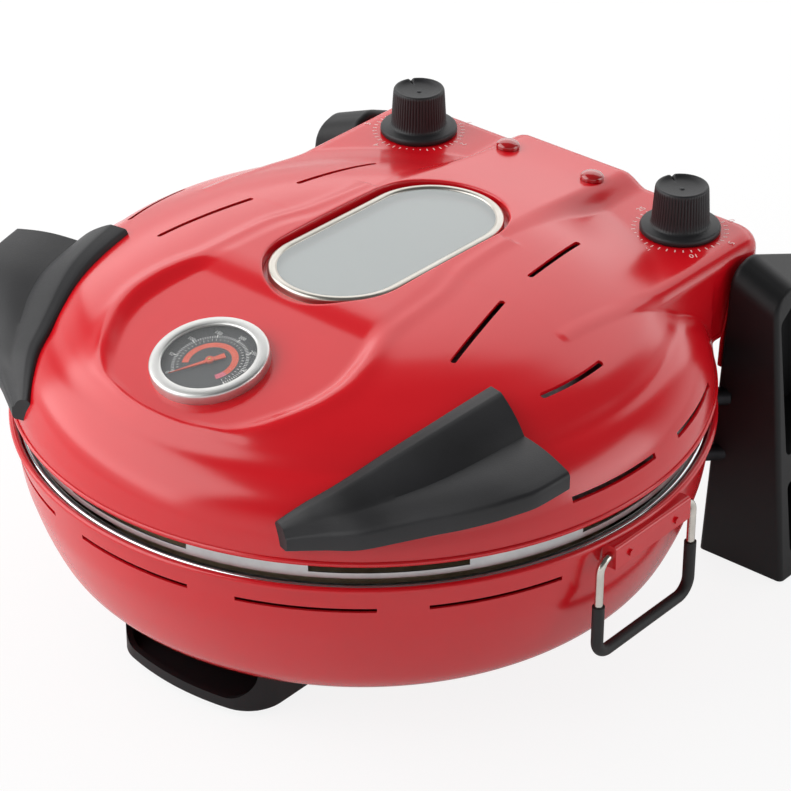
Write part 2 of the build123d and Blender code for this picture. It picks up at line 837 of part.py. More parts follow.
# ---------------------------------------------------------------- lid shell
dome_profile = (
    (lid_radius - 155, plateau_lift),
    (lid_radius - 119, plateau_lift - 1),
    (lid_radius - 98, plateau_lift - 2.5),
    (lid_radius - 83, plateau_lift - 5),
    (lid_radius - 67, plateau_lift - 9),
    (lid_radius - 52, plateau_lift - 14.5),
    (lid_radius - 38, plateau_lift - 21),
    (lid_radius - 23, plateau_lift - 33),
    (lid_radius - 12.5, plateau_lift - 40.5),
    (lid_radius - 5, plateau_lift - 50),
    (lid_radius - 1, plateau_lift - 61),
)
facet = tilted(facet_y, rim_z + facet_lift, -facet_tilt)
window_plane = tilted(glass_y, rim_z + glass_lift, glass_tilt)
recess_floor = window_plane.offset(-trim_height)
cavity_drop = 25.0  # inner forms reach this far below the lid edge, to leave the lid open


def stadium(half_width):
    """Round-ended slot along the middle line, as long as the trim less the same margin all round."""
    SlotOverall(trim_length - 2 * (trim_half_width - half_width), 2 * half_width, rotation=90)


def dome_form(inset):
    """Round body of the lid, drawn in by an inset."""
    low = rim_z - (cavity_drop if inset else 0)
    with BuildPart() as form:
        with BuildSketch(radial):
            places = [(reach - 0.6 * inset, rim_z + lift - inset) for reach, lift in dome_profile]
            edge = (lid_radius - inset, rim_z + plateau_lift - 68)
            section((0, low), (0, rim_z + plateau_lift - inset), *places, edge, (lid_radius - inset, low))
        revolve(axis=round_axis)
    return form.part


def box_form(inset):
    """Squared rear end of the lid, drawn in by an inset."""
    low = rim_z + (box_under if not inset else -cavity_drop)
    with BuildPart() as form:
        with BuildSketch(level(low)):
            with Locations((0, (box_front + box_rear) / 2)):
                RectangleRounded(2 * (box_half_width - inset), box_rear - box_front - 2 * inset, box_corner - inset)
        extrude(amount=shoulder_z - inset - low)
        fillet(form.edges().group_by(Axis.Z)[-1], box_round - inset)
    return form.part


spine_rear = box_rear - box_round / 2
spine_slope = (spine_rear_lift - spine_front_lift) / (spine_rear - box_front)
spine_lean = -math.degrees(math.atan(spine_slope))


def spine_height(y):
    """Height of the hump's ridge above the floor."""
    return rim_z + spine_front_lift + spine_slope * (y - box_front)


def spine_form(inset):
    """Raised hump that runs back from the window, drawn in by an inset."""
    rear = spine_rear - inset
    with BuildPart() as form:
        with BuildSketch(across(-spine_half_width + inset)):
            section(
                (glass_y, shoulder_z - 20),
                (rear, shoulder_z - 20),
                (rear, spine_height(rear) - inset),
                (box_front, spine_height(box_front) - inset),
                (glass_y, rim_z + plateau_lift - 2 - inset),
            )
        extrude(amount=2 * (spine_half_width - inset))
        fillet(form.edges().filter_by(lambda edge: edge.center().Z > shoulder_z and abs(edge.center().X) > 1), 5)
    return form.part


def lid_form(inset):
    """Body of the lid with its rear box, hump, facet and window recess, drawn in by an inset."""
    with BuildPart() as form:
        add(dome_form(inset))
        add(box_form(inset))
        add(spine_form(inset))
        with BuildSketch(facet.offset(-inset)):
            with Locations((0, scoop_round_start)):
                Circle(scoop_half_width + inset)
            with Locations((0, (scoop_round_start + scoop_back + inset) / 2)):
                Rectangle(2 * (scoop_half_width + inset), scoop_back + inset - scoop_round_start)
            with Locations((0, scoop_back + inset + 100)):
                Rectangle(400, 200, mode=Mode.SUBTRACT)
        extrude(amount=40, mode=Mode.SUBTRACT)
        with BuildSketch(recess_floor.offset(-inset)):
            stadium(trim_half_width + recess_gap + inset)
        extrude(amount=30, mode=Mode.SUBTRACT)
    return form.part


lid_outside = lid_form(0)
lid_inside = lid_form(steel)


def lid_reach(x, y, form):
    """Height above the floor of the top of a form at a place in plan."""
    hits = form.shell().find_intersection_points(Axis((x, axis_y + y, 0), (0, 0, 1)))
    return max(point.Z for point, _ in hits)


lamp_base = tilted(lamp_y, spine_height(lamp_y), spine_lean)
lamp_places = [(sign * lamp_x, 0) for _, sign in sides]
knob_places = [(sign * knob_x, knob_y) for _, sign in sides]
long_vents = (((79.4, 38.8), (70.4, 89.8)), ((99.8, -47.5), (86.0, 7.4)))
arc_vent_radius = lid_radius - 41.0
arc_vent = (-11.4, 17.1)  # first degree and extent of the arc-shaped vent
skirt_vents = ((-15.3, 18.7), (10.5, 17.0))
skirt_vent_lift = 16.5

with BuildPart() as lid_vents:
    with BuildSketch(level(rim_z + 35)):
        for front_end, back_end in long_vents:
            middle = ((front_end[0] + back_end[0]) / 2, (front_end[1] + back_end[1]) / 2)
            run = (back_end[0] - front_end[0], back_end[1] - front_end[1])
            with Locations(Location((*middle, 0), (0, 0, math.degrees(math.atan2(run[1], run[0]))))):
                SlotOverall(math.hypot(*run), lid_vent_width)
    extrude(amount=60)
    arc_first, arc_extent = arc_vent
    half = lid_vent_width / 2
    bent = annular_cutter(arc_vent_radius - half, arc_vent_radius + half, rim_z + 35, rim_z + 70, arc_extent)
    with Locations(*turned_to(arc_first + arc_extent / 2)):
        add(bent)
    for first, extent in skirt_vents:
        low = rim_z + skirt_vent_lift - skirt_vent_height / 2
        slot = annular_cutter(lid_radius - 12, lid_radius + 5, low, low + skirt_vent_height, extent)
        with Locations(*turned_to(first + extent / 2)):
            add(slot)
    mirror(about=Plane.YZ)

with BuildPart() as lid_shell:
    add(lid_outside)
    with BuildSketch(radial):
        with Locations((lid_radius, rim_z + curl_radius)):
            Circle(curl_radius)
    revolve(axis=round_axis)
    add(lid_inside, mode=Mode.SUBTRACT)
    with BuildSketch(level(rim_z - 1)):
        with Locations((0, box_rear)):
            Rectangle(2 * lid_radius, 102)
    extrude(amount=box_under + 1, mode=Mode.SUBTRACT)
    add(lid_vents.part, mode=Mode.SUBTRACT)
    with BuildSketch(recess_floor.offset(-2 * steel)):
        stadium(trim_half_width - trim_width)
        with Locations(*clamp_screw_places):
            Circle(clamp_screw_radius)
    extrude(amount=3 * steel, mode=Mode.SUBTRACT)
    with BuildSketch(facet.offset(-5)):
        Circle(stem_radius)
    extrude(amount=10, mode=Mode.SUBTRACT)
    with BuildSketch(lamp_base.offset(-5)):
        with Locations(*lamp_places):
            Circle(lamp_holder_radius)
    extrude(amount=10, mode=Mode.SUBTRACT)
    with BuildSketch(level(shoulder_z - 5)):
        with Locations(*knob_places):
            Circle(switch_collar_radius)
    extrude(amount=10, mode=Mode.SUBTRACT)
    with BuildSketch(across(-2 * box_half_width)):
        with Locations((hinge_y, hinge_z)):
            Circle(bush_radius)
    extrude(amount=4 * box_half_width, mode=Mode.SUBTRACT)
    with BuildSketch(level(rim_z + 20)):
        with Locations(*wing_screw_places):
            Circle(wing_screw_radius)
    extrude(amount=50, mode=Mode.SUBTRACT)
save(lid_shell, "lid_shell")

# ---------------------------------------------------------------- window
glass_half_width = trim_half_width - trim_width + glass_ledge

with BuildPart() as window_trim:
    with BuildSketch(recess_floor):
        stadium(trim_half_width)
    extrude(amount=trim_height)
    fillet(window_trim.faces().sort_by(Axis.Z)[-1].edges(), 1)
    with BuildSketch(recess_floor):
        stadium(trim_half_width - trim_width)
    extrude(amount=trim_height, mode=Mode.SUBTRACT)
    with BuildSketch(recess_floor):
        stadium(glass_half_width + seat_gap)
    extrude(amount=seal_thickness + glass_thickness, mode=Mode.SUBTRACT)
    with BuildSketch(recess_floor):
        with Locations(*clamp_screw_places):
            Circle(clamp_screw_radius)
    extrude(amount=3, mode=Mode.SUBTRACT)
save(window_trim, "window_trim")

with BuildPart() as window_seal:
    with BuildSketch(recess_floor):
        stadium(glass_half_width)
    extrude(amount=seal_thickness)
    with BuildSketch(recess_floor):
        stadium(glass_half_width - 3)
    extrude(amount=seal_thickness, mode=Mode.SUBTRACT)
save(window_seal, "window_seal")

with BuildPart() as window_glass:
    with BuildSketch(recess_floor.offset(seal_thickness)):
        stadium(glass_half_width)
    extrude(amount=glass_thickness)
save(window_glass, "window_glass")

with BuildPart() as window_clamp:
    with BuildSketch(recess_floor.offset(-steel)):
        stadium(trim_half_width + recess_gap)
    extrude(amount=-clamp_thickness)
    with BuildSketch(recess_floor.offset(-steel)):
        stadium(glass_half_width - 3)
        with Locations(*clamp_screw_places):
            Circle(clamp_screw_radius)
    extrude(amount=-clamp_thickness, mode=Mode.SUBTRACT)
save(window_clamp, "window_clamp")

with BuildPart() as window_screws:
    with BuildSketch(recess_floor.offset(3)):
        with Locations(*clamp_screw_places):
            Circle(clamp_screw_radius)
    extrude(amount=-3 - steel - clamp_thickness)
    with BuildSketch(recess_floor.offset(-steel - clamp_thickness)):
        with Locations(*clamp_screw_places):
            Circle(2)
    extrude(amount=-1.5)
save(window_screws, "window_screws")

# ---------------------------------------------------------------- reflector and upper heater
reflector_profile = (
    (reflector_radius, 4.0),
    (reflector_radius - 12.5, 12.0),
    (reflector_radius - 30.5, 20.0),
    (reflector_radius - 60.5, 24.0),
    (0.0, reflector_crown),
)


def reflector_form(inset):
    """Body of the reflector, drawn in by an inset for the inside."""
    low = rim_z - reflector_hang - (1 if inset else 0)
    points = [(max(reach - 0.7 * inset, 0), rim_z + lift - 0.9 * inset) for reach, lift in reflector_profile[1:]]
    with BuildPart() as form:
        with BuildSketch(radial):
            section((0, low), (reflector_radius - inset, low), (reflector_radius - inset, rim_z + 4 - 0.3 * inset), *points)
        revolve(axis=round_axis)
    return form.part


reflector_outside = reflector_form(0)
reflector_inside = reflector_form(reflector_wall)
collar_half_width = trim_half_width + 1.5
collar_top = recess_floor.origin.Z - 6
post_places = [(sign * post_reach, fore * post_reach) for _, sign in sides for fore in (-1, 1)]

with BuildPart() as lid_reflector:
    add(reflector_outside)
    with BuildSketch(level(rim_z + 2)):
        Circle(lid_radius - steel)
        Circle(reflector_radius - 0.4, mode=Mode.SUBTRACT)
    extrude(amount=reflector_wall)
    with BuildSketch(level(rim_z + reflector_crown - 4)):
        with Locations((0, glass_y)):
            stadium(collar_half_width)
    extrude(amount=collar_top - rim_z - reflector_crown + 4)
    add(reflector_inside, mode=Mode.SUBTRACT)
    with BuildSketch(level(rim_z)):
        with Locations((0, glass_y)):
            stadium(collar_half_width - reflector_wall)
    extrude(amount=60, mode=Mode.SUBTRACT)
    pane = annular_cutter(reflector_radius - 4, reflector_radius + 1, rim_z - 6.5, rim_z - 0.5, window_angle)
    with Locations(*turned_to(*evenly(window_count, -90))):
        add(pane, mode=Mode.SUBTRACT)
    with BuildSketch(facet):
        Circle(stem_radius + 1)
    extrude(amount=-45, mode=Mode.SUBTRACT)
    with BuildSketch(level(rim_z)):
        with Locations(*post_places):
            Circle(stud_radius)
    extrude(amount=40, mode=Mode.SUBTRACT)
    upper_exit = Plane(origin=(0, axis_y + reflector_radius - 30, rim_z + upper_heater_lift), x_dir=(1, 0, 0), z_dir=(0, 1, 0))
    with BuildSketch(upper_exit):
        with Locations((-heater_leg_x, 0), (heater_leg_x, 0)):
            Circle(heater_radius + running)
    extrude(amount=40, mode=Mode.SUBTRACT)
save(lid_reflector, "lid_reflector")

with BuildPart() as reflector_posts:
    with BuildSketch(level(rim_z + 15)):
        with Locations(*post_places):
            Circle(4)
    extrude(amount=60)
    add(lid_inside, mode=Mode.INTERSECT)
    add(reflector_outside, mode=Mode.SUBTRACT)
    with BuildSketch(level(rim_z + 15)):
        with Locations(*post_places):
            Circle(stud_radius)
    extrude(amount=20)
save(reflector_posts, "reflector_posts")

nut_top = lid_reach(post_reach + 4, post_reach + 4, reflector_inside)
with BuildPart() as reflector_nuts:
    with BuildSketch(level(nut_top)):
        with Locations(*post_places):
            RegularPolygon(4, 6)
            Circle(stud_radius, mode=Mode.SUBTRACT)
    extrude(amount=-3)
save(reflector_nuts, "reflector_nuts")

with BuildPart() as rear_cover:
    with BuildSketch(level(rim_z + box_under + 0.5)):
        with Locations((0, (box_front + box_rear) / 2)):
            RectangleRounded(2 * (box_half_width - steel), box_rear - box_front - 2 * steel, box_corner - steel)
        Circle(reflector_radius - 1, mode=Mode.SUBTRACT)
    extrude(amount=1)
save(rear_cover, "rear_cover")

upper_legs_end = box_rear - 12.5
clip_seat = lid_reach(upper_heater_ring + clip_side / 2, clip_side / 2, reflector_inside)

with BuildPart() as upper_heater:
    add(heater_loop(upper_heater_ring, rim_z + upper_heater_lift, upper_legs_end))
save(upper_heater, "upper_heater")

with BuildPart() as upper_heater_clips:
    add(heater_clips(upper_heater_ring, rim_z + upper_heater_lift, clip_seat, upper_clip_angles))
save(upper_heater_clips, "upper_heater_clips")

# ---------------------------------------------------------------- thermometer
case_floor = 1.0
dial_top = gauge_height - gauge_depth

with BuildPart() as thermometer_case:
    with BuildSketch(facet):
        Circle(gauge_radius)
    extrude(amount=gauge_height)
    fillet(thermometer_case.faces().sort_by(Axis.Z)[-1].edges(), 1)
    with BuildSketch(facet.offset(case_floor)):
        Circle(gauge_radius - 1.5)
    extrude(amount=gauge_height - case_floor - 0.7, mode=Mode.SUBTRACT)
    with BuildSketch(facet):
        Circle(gauge_radius - gauge_rim)
    extrude(amount=gauge_height, mode=Mode.SUBTRACT)
    with BuildSketch(facet):
        Circle(gauge_radius - 1)
        Circle(spindle_radius + seat_gap, mode=Mode.SUBTRACT)
    extrude(amount=case_floor)
save(thermometer_case, "thermometer_case")

with BuildPart() as thermometer_dial:
    with BuildSketch(facet.offset(case_floor)):
        Circle(gauge_radius - 1.5)
        Circle(spindle_radius + seat_gap, mode=Mode.SUBTRACT)
    extrude(amount=dial_top - case_floor)
save(thermometer_dial, "thermometer_dial")

with BuildPart() as thermometer_lens:
    with BuildSketch(facet.offset(gauge_height - 0.7 - lens_thickness)):
        Circle(gauge_radius - 1.5)
    extrude(amount=lens_thickness)
save(thermometer_lens, "thermometer_lens")

with BuildPart() as thermometer_stem:
    with BuildSketch(facet):
        Circle(stem_radius)
    extrude(amount=-stem_length)
    with BuildSketch(facet):
        Circle(spindle_radius)
    extrude(amount=dial_top + 2)
save(thermometer_stem, "thermometer_stem")

with BuildPart() as thermometer_nut:
    with BuildSketch(facet.offset(-steel)):
        RegularPolygon(9, 6)
        Circle(stem_radius, mode=Mode.SUBTRACT)
    extrude(amount=-3)
save(thermometer_nut, "thermometer_nut")

needle_plane = facet.offset(dial_top + 0.6)
with BuildPart() as thermometer_needle:
    with BuildSketch(needle_plane):
        with Locations(Location((0, 0, 0), (0, 0, needle_start))):
            section((-needle_length, 0), (0, -1.1), (needle_tail, -1.8), (needle_tail, 1.8), (0, 1.1))
        Circle(2.2)
    extrude(amount=0.6)
    with BuildSketch(needle_plane):
        Circle(2.2)
    extrude(amount=1.2)
    with BuildSketch(needle_plane):
        Circle(spindle_radius + running)
    extrude(amount=2, mode=Mode.SUBTRACT)
save(thermometer_needle, "thermometer_needle")

# ---------------------------------------------------------------- lamps and knobs
for index, (side, _) in enumerate(sides):
    with BuildPart() as lamp:
        with BuildSketch(lamp_base):
            with Locations(lamp_places[index]):
                Circle(lamp_radius)
        extrude(amount=lamp_height)
        fillet(lamp.faces().sort_by(Axis.Z)[-1].edges(), lamp_radius / 2)
    save(lamp, f"lamp_{side}")

with BuildPart() as lamp_holders:
    with BuildSketch(lamp_base):
        with Locations(*lamp_places):
            Circle(lamp_holder_radius)
    extrude(amount=-16)
    with BuildSketch(lamp_base.offset(-steel - 0.1)):
        with Locations(*lamp_places):
            Circle(lamp_radius)
    extrude(amount=-3)
save(lamp_holders, "lamp_holders")

switch_top = shoulder_z - steel
switch_floor = switch_top - switch_height
shaft_depth = 16.0


def switch_form(place):
    """Timer or thermostat body hung under the lid, with the collar that its shaft turns in."""
    with BuildPart() as switch:
        with BuildSketch(level(switch_floor)):
            with Locations(place):
                Rectangle(switch_side, switch_side)
        extrude(amount=switch_height)
        fillet(switch.edges().filter_by(Axis.Z), 2)
        with BuildSketch(level(switch_top)):
            with Locations(place):
                Circle(switch_collar_radius)
        extrude(amount=steel)
        with BuildSketch(level(shoulder_z)):
            with Locations(place):
                Circle(shaft_radius + running)
        extrude(amount=-shaft_depth - 0.3, mode=Mode.SUBTRACT)
    return switch


def knob_form(place):
    """Fluted knob on a wide skirt."""
    with BuildPart() as knob:
        with BuildSketch(level(shoulder_z + seat_gap)):
            with Locations(place):
                Circle(knob_skirt_radius)
        extrude(amount=knob_skirt_height - seat_gap)
        fillet(knob.edges().group_by(Axis.Z)[-1], 1.5)
        with BuildSketch(level(shoulder_z + knob_skirt_height - 1)):
            with Locations(place):
                Circle(knob_radius)
        with BuildSketch(level(shoulder_z + knob_height)):
            with Locations(place):
                Circle(knob_top_radius)
        loft()
        fillet(knob.edges().group_by(Axis.Z)[-1], 1)
        with BuildSketch(level(shoulder_z)):
            with Locations(place):
                Circle(shaft_radius)
        extrude(amount=shaft_depth, mode=Mode.SUBTRACT)
    return knob


def shaft_form(place):
    """Shaft between a knob and its switch."""
    with BuildPart() as shaft:
        with BuildSketch(level(shoulder_z - shaft_depth)):
            with Locations(place):
                Circle(shaft_radius)
        extrude(amount=2 * shaft_depth)
    return shaft


for control, place in zip(("thermostat", "timer"), knob_places):
    save(switch_form(place), f"{control}_body")
    save(knob_form(place), f"{control}_knob")
    save(shaft_form(place), f"{control}_shaft")

# ---------------------------------------------------------------- wing handles
# Each station is the ridge's distance inside the lid edge, its place along Y and its height, then the
# far strip edge, valley and outer edge as pairs of distance from the ridge and height, and the height
# of the underside.
wing_heading = math.radians(-17.0)
wing_stations = (
    (60.5, -48.7, 61.0, (8.6, 61.8), (29.2, 47.7), (67.5, 47.0), 37.5),
    (65.5, -80.0, 56.4, (7.6, 56.8), (28.0, 44.5), (63.5, 43.5), 33.5),
    (72.5, -105.0, 49.2, (6.6, 49.4), (24.0, 38.5), (49.5, 35.0), 25.5),
    (82.2, -131.5, 39.0, (5.4, 39.0), (17.0, 32.0), (31.5, 27.0), 17.5),
    (99.0, -160.5, 22.0, (3.0, 21.8), (6.0, 20.0), (9.5, 16.0), 9.0),
)
with BuildPart() as wing:
    heading = Vector(math.cos(wing_heading), math.sin(wing_heading), 0)
    for inset, y, ridge, strip, valley, edge, under in wing_stations:
        upright = Plane(origin=(lid_radius - inset, axis_y + y, rim_z), x_dir=heading, z_dir=heading.cross(Vector(0, 0, 1)))
        with BuildSketch(upright):
            section((-3, under), (0, ridge), strip, valley, edge, (edge[0], under))
    loft(ruled=True)
    add(lid_outside, mode=Mode.SUBTRACT)

with BuildPart() as wing_screws:
    for place in wing_screw_places:
        seat = lid_reach(*place, lid_inside)
        with BuildSketch(level(seat - 6)):
            with Locations(place):
                Circle(2.2 * wing_screw_radius)
        extrude(amount=12)
    add(lid_inside, mode=Mode.INTERSECT)
    for place in wing_screw_places:
        seat = lid_reach(*place, lid_inside)
        with BuildSketch(level(seat - 6)):
            with Locations(place):
                Circle(wing_screw_radius)
        extrude(amount=12)
save(wing_screws, "wing_screws")

for side, sign in sides:
    with BuildPart() as handle:
        add(wing.part)
        if sign < 0:
            mirror(about=Plane.YZ, mode=Mode.REPLACE)
        add(wing_screws.part, mode=Mode.SUBTRACT)
    save(handle, f"wing_handle_{side}")

# ---------------------------------------------------------------- cord gland
gland_place = Plane(origin=(0, axis_y, rim_z - gland_drop), x_dir=(-1, 0, 0), z_dir=(0, 1, 0))
with BuildPart() as cord_gland:
    wall = bowl_reach(gland_place)
    with BuildSketch(gland_place.offset(wall - 4)):
        Circle(gland_radius)
    extrude(amount=14)
    with BuildSketch(gland_place.offset(wall)):
        Circle(gland_radius + 3)
    extrude(amount=6)
    add(base_shell.part, mode=Mode.SUBTRACT)
    with BuildSketch(gland_place.offset(wall - 4)):
        Circle(gland_radius - 2.5)
    extrude(amount=20, mode=Mode.SUBTRACT)
save(cord_gland, "cord_gland")
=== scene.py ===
"""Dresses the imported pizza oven: sculpted lid, bowl, handles, knobs and dial, with lights and a camera."""

import logging
import math
from dataclasses import dataclass
from enum import Enum
from typing import Any, Iterable, Optional, Sequence

import bmesh
import bpy
import numpy as np
from mathutils import Matrix, Vector


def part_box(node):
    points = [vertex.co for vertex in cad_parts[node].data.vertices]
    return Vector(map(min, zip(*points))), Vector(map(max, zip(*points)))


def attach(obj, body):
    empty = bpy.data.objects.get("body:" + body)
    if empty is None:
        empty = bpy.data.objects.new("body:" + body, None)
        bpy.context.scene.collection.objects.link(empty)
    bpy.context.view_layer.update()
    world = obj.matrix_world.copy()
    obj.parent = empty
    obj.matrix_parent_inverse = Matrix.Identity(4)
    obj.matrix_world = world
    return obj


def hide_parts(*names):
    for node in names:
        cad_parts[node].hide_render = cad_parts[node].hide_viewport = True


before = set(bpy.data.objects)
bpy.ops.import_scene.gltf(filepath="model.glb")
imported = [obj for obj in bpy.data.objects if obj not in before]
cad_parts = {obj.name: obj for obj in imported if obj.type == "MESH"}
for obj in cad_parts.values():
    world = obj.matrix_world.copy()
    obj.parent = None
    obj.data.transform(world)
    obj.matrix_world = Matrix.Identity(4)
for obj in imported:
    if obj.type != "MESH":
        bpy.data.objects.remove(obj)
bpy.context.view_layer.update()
log = logging.getLogger("pizza_oven")

MM = 0.001
MERGE = 1e-6  # metres between points that count as one
AXIS_Y = sum(corner.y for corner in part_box("base_shell")) / 2
RIM_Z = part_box("lid_shell")[0].z
# From millimetres about the round axis and the lid's lower edge to the frame's metres.
LID_FRAME = Matrix.Translation((0.0, AXIS_Y, RIM_Z)) @ Matrix.Scale(MM, 4)

Array = np.ndarray
Pair = tuple[float, float]
Curve = tuple[Pair, ...]
Point = tuple[float, float, float]
Bar = tuple[Array, float, float]  # outline, lower and upper height
Piece = bpy.types.Object
Material = bpy.types.Material
Node = bpy.types.Node
Tree = bpy.types.NodeTree


class Side(Enum):
    """The two sides of the oven, as the sign of X."""

    LEFT = -1
    RIGHT = 1

    @property
    def word(self) -> str:
        """Lower-case name used in piece names."""
        return self.name.lower()


# ---- numbers and outlines
def linear(code: str) -> tuple[float, float, float, float]:
    """Turns an sRGB hex colour of six digits into linear red, green, blue and an alpha of 1."""
    parts = [int(code[i : i + 2], 16) / 255 for i in (0, 2, 4)]
    return tuple(p / 12.92 if p <= 0.04045 else ((p + 0.055) / 1.055) ** 2.4 for p in parts) + (1.0,)


def smoothstep(low: float, high: float, value: Array) -> Array:
    """Cubic ramp from 0 at low to 1 at high."""
    t = np.clip((value - low) / (high - low), 0.0, 1.0)
    return t * t * (3 - 2 * t)


def smooth_max(first: Array, second: Array, blend: Array) -> Array:
    """Larger of two heights with a fillet where they cross.

    Args:
        first: heights of one form.
        second: heights of the other form.
        blend: height range of the fillet.

    Returns:
        The blended heights.
    """
    gap = second - first
    return first + np.where(np.abs(gap) < blend, (gap + blend) ** 2 / (4 * blend), np.maximum(gap, 0))


def monotone(places: Array, values: Array, wanted: Array) -> Array:
    """Smooth curve through points that never overshoots them.

    Args:
        places: rising positions of the points.
        values: values at the points.
        wanted: positions to work out.

    Returns:
        Values at the wanted positions.
    """
    step = np.diff(places)
    slope = np.diff(values) / step
    tangent = np.zeros(len(values))
    tangent[0], tangent[-1] = slope[0], slope[-1]
    rising = slope[:-1] * slope[1:] > 0
    before, after = (2 * step[1:] + step[:-1])[rising], (step[1:] + 2 * step[:-1])[rising]
    tangent[1:-1][rising] = (before + after) / (before / slope[:-1][rising] + after / slope[1:][rising])
    index = np.clip(np.searchsorted(places, wanted, side="right") - 1, 0, len(step) - 1)
    h = step[index]
    t = (wanted - places[index]) / h
    start = values[index] * (1 + 2 * t) + h * tangent[index] * t
    end = values[index + 1] * (3 - 2 * t) + h * tangent[index + 1] * (t - 1)
    return start * (1 - t) ** 2 + end * t * t


def path_run(path: Array) -> Array:
    """Distance along a polyline at each of its points."""
    return np.concatenate([[0], np.cumsum(np.linalg.norm(np.diff(path, axis=0), axis=1))])


def resample(path: Array, count: int) -> Array:
    """Spreads points evenly along a polyline.

    Args:
        path: points of the polyline.
        count: number of points wanted.

    Returns:
        The new points, both ends kept.
    """
    run = path_run(path)
    wanted = np.linspace(0, run[-1], count)
    return np.stack([np.interp(wanted, run, column) for column in path.T], axis=1)


def arc_points(centre: Pair, radius: float, first: float, last: float, count: int) -> Array:
    """Points on an arc, from one angle to another in degrees."""
    turn = np.radians(np.linspace(first, last, count))
    return np.array(centre) + radius * np.stack([np.cos(turn), np.sin(turn)], axis=1)


def sector(inner: float, outer: float, first: float, last: float, count: int) -> Array:
    """Outline of a ring sector about the origin, with a count of points on each arc."""
    arc = arc_points((0, 0), 1.0, first, last, count)
    return np.vstack([inner * arc, outer * arc[::-1]])


def stadium(half_width: float, half_length: float, turn: Array) -> Array:
    """Outline of a round-ended slot along Y.

    Args:
        half_width: half of its width.
        half_length: half of its length.
        turn: angles about its centre, in radians.

    Returns:
        The outline's point at each angle.
    """
    run = half_length - half_width
    c, s = np.cos(turn), np.sin(turn)
    side = half_width / np.maximum(np.abs(c), 1e-9)
    middle = run * np.sign(s)
    cap = middle * s + np.sqrt(np.maximum(half_width**2 - (middle * c) ** 2, 0))
    reach = np.where(np.abs(side * s) <= run, side, cap)
    return np.stack([reach * c, reach * s], axis=1)


# ---- meshes
def linked(name: str, data: bpy.types.ID) -> Piece:
    """Puts new object data into the scene.

    Args:
        name: object name.
        data: mesh, curve, camera or light.

    Returns:
        The linked object.
    """
    piece = bpy.data.objects.new(name, data)
    bpy.context.scene.collection.objects.link(piece)
    return piece


def shade(piece: Piece, sharp: float, closed: bool = False) -> None:
    """Shades a piece smooth, apart from its sharp edges.

    Args:
        piece: the piece.
        sharp: edges that turn more than this many degrees stay crisp.
        closed: first merges doubled points and turns all faces outwards.
    """
    work = bmesh.new()
    work.from_mesh(piece.data)
    if closed:
        bmesh.ops.remove_doubles(work, verts=work.verts, dist=MERGE)
        bmesh.ops.recalc_face_normals(work, faces=work.faces)
        work.normal_update()
    for face in work.faces:
        face.smooth = True
    for edge in work.edges:
        edge.smooth = edge.calc_face_angle(0.0) < math.radians(sharp)
    work.to_mesh(piece.data)
    work.free()


def new_piece(
    name: str, points: Array, faces: Iterable[Sequence[int]], sharp: float = 35.0, place: Matrix = LID_FRAME
) -> Piece:
    """Makes a smooth-shaded mesh with its faces outwards.

    Args:
        name: object name.
        points: vertex places in millimetres.
        faces: vertex indices of each face.
        sharp: edges that turn more than this many degrees stay crisp.
        place: where these millimetres lie in the frame.

    Returns:
        The linked object.
    """
    mesh = bpy.data.meshes.new(name)
    mesh.from_pydata(np.asarray(points, float).tolist(), [], [tuple(face) for face in faces])
    mesh.transform(place)
    piece = linked(name, mesh)
    shade(piece, sharp, closed=True)
    return piece


def grid_faces(rows: int, columns: int, wrap_rows: bool = False) -> Array:
    """Quads of a grid of points stored row by row, its last column joined to the first.

    Args:
        rows: number of rows.
        columns: number of points in a row.
        wrap_rows: joins the last row to the first.

    Returns:
        One line of four indices for each quad.
    """
    i, j = np.meshgrid(np.arange(rows if wrap_rows else rows - 1), np.arange(columns), indexing="ij")
    down, across = (i + 1) % rows, (j + 1) % columns
    quads = [i * columns + j, i * columns + across, down * columns + across, down * columns + j]
    return np.stack([q.ravel() for q in quads], axis=1)


def lathe(profile: Sequence[Pair], segments: int, closed: bool = True) -> tuple[Array, Array]:
    """Turns a profile of radius and height about the round axis.

    Args:
        profile: radius and height pairs in millimetres.
        segments: number of columns.
        closed: joins the last profile point to the first.

    Returns:
        Points in millimetres and quads.
    """
    turn = np.linspace(0, 2 * math.pi, segments, endpoint=False)
    radius, lift = np.array(profile, float).T[:, :, None]
    points = np.stack([radius * np.cos(turn), radius * np.sin(turn), np.repeat(lift, segments, 1)], axis=2)
    return points.reshape(-1, 3), grid_faces(len(profile), segments, wrap_rows=closed)


def upright_bars(name: str, bars: Iterable[Bar], place: Matrix = LID_FRAME) -> Piece:
    """Makes closed upright bars as one piece.

    Args:
        name: object name.
        bars: the bars, in millimetres.
        place: where these millimetres lie in the frame.

    Returns:
        The linked object.
    """
    points, faces = [], []
    for outline, low, high in bars:
        base, count = len(points), len(outline)
        points += [(x, y, lift) for lift in (low, high) for x, y in outline]
        faces += [range(start, start + count) for start in (base, base + count)]
        faces += (grid_faces(2, count) + base).tolist()
    return new_piece(name, points, faces, place=place)


def plain_mesh(piece: Piece) -> bpy.types.Mesh:
    """Copies a piece's evaluated form."""
    return bpy.data.meshes.new_from_object(piece.evaluated_get(bpy.context.evaluated_depsgraph_get()))


def apply_modifiers(piece: Piece) -> None:
    """Replaces a piece's mesh by its evaluated one and removes its modifiers."""
    result = plain_mesh(piece)
    piece.modifiers.clear()
    piece.data = result


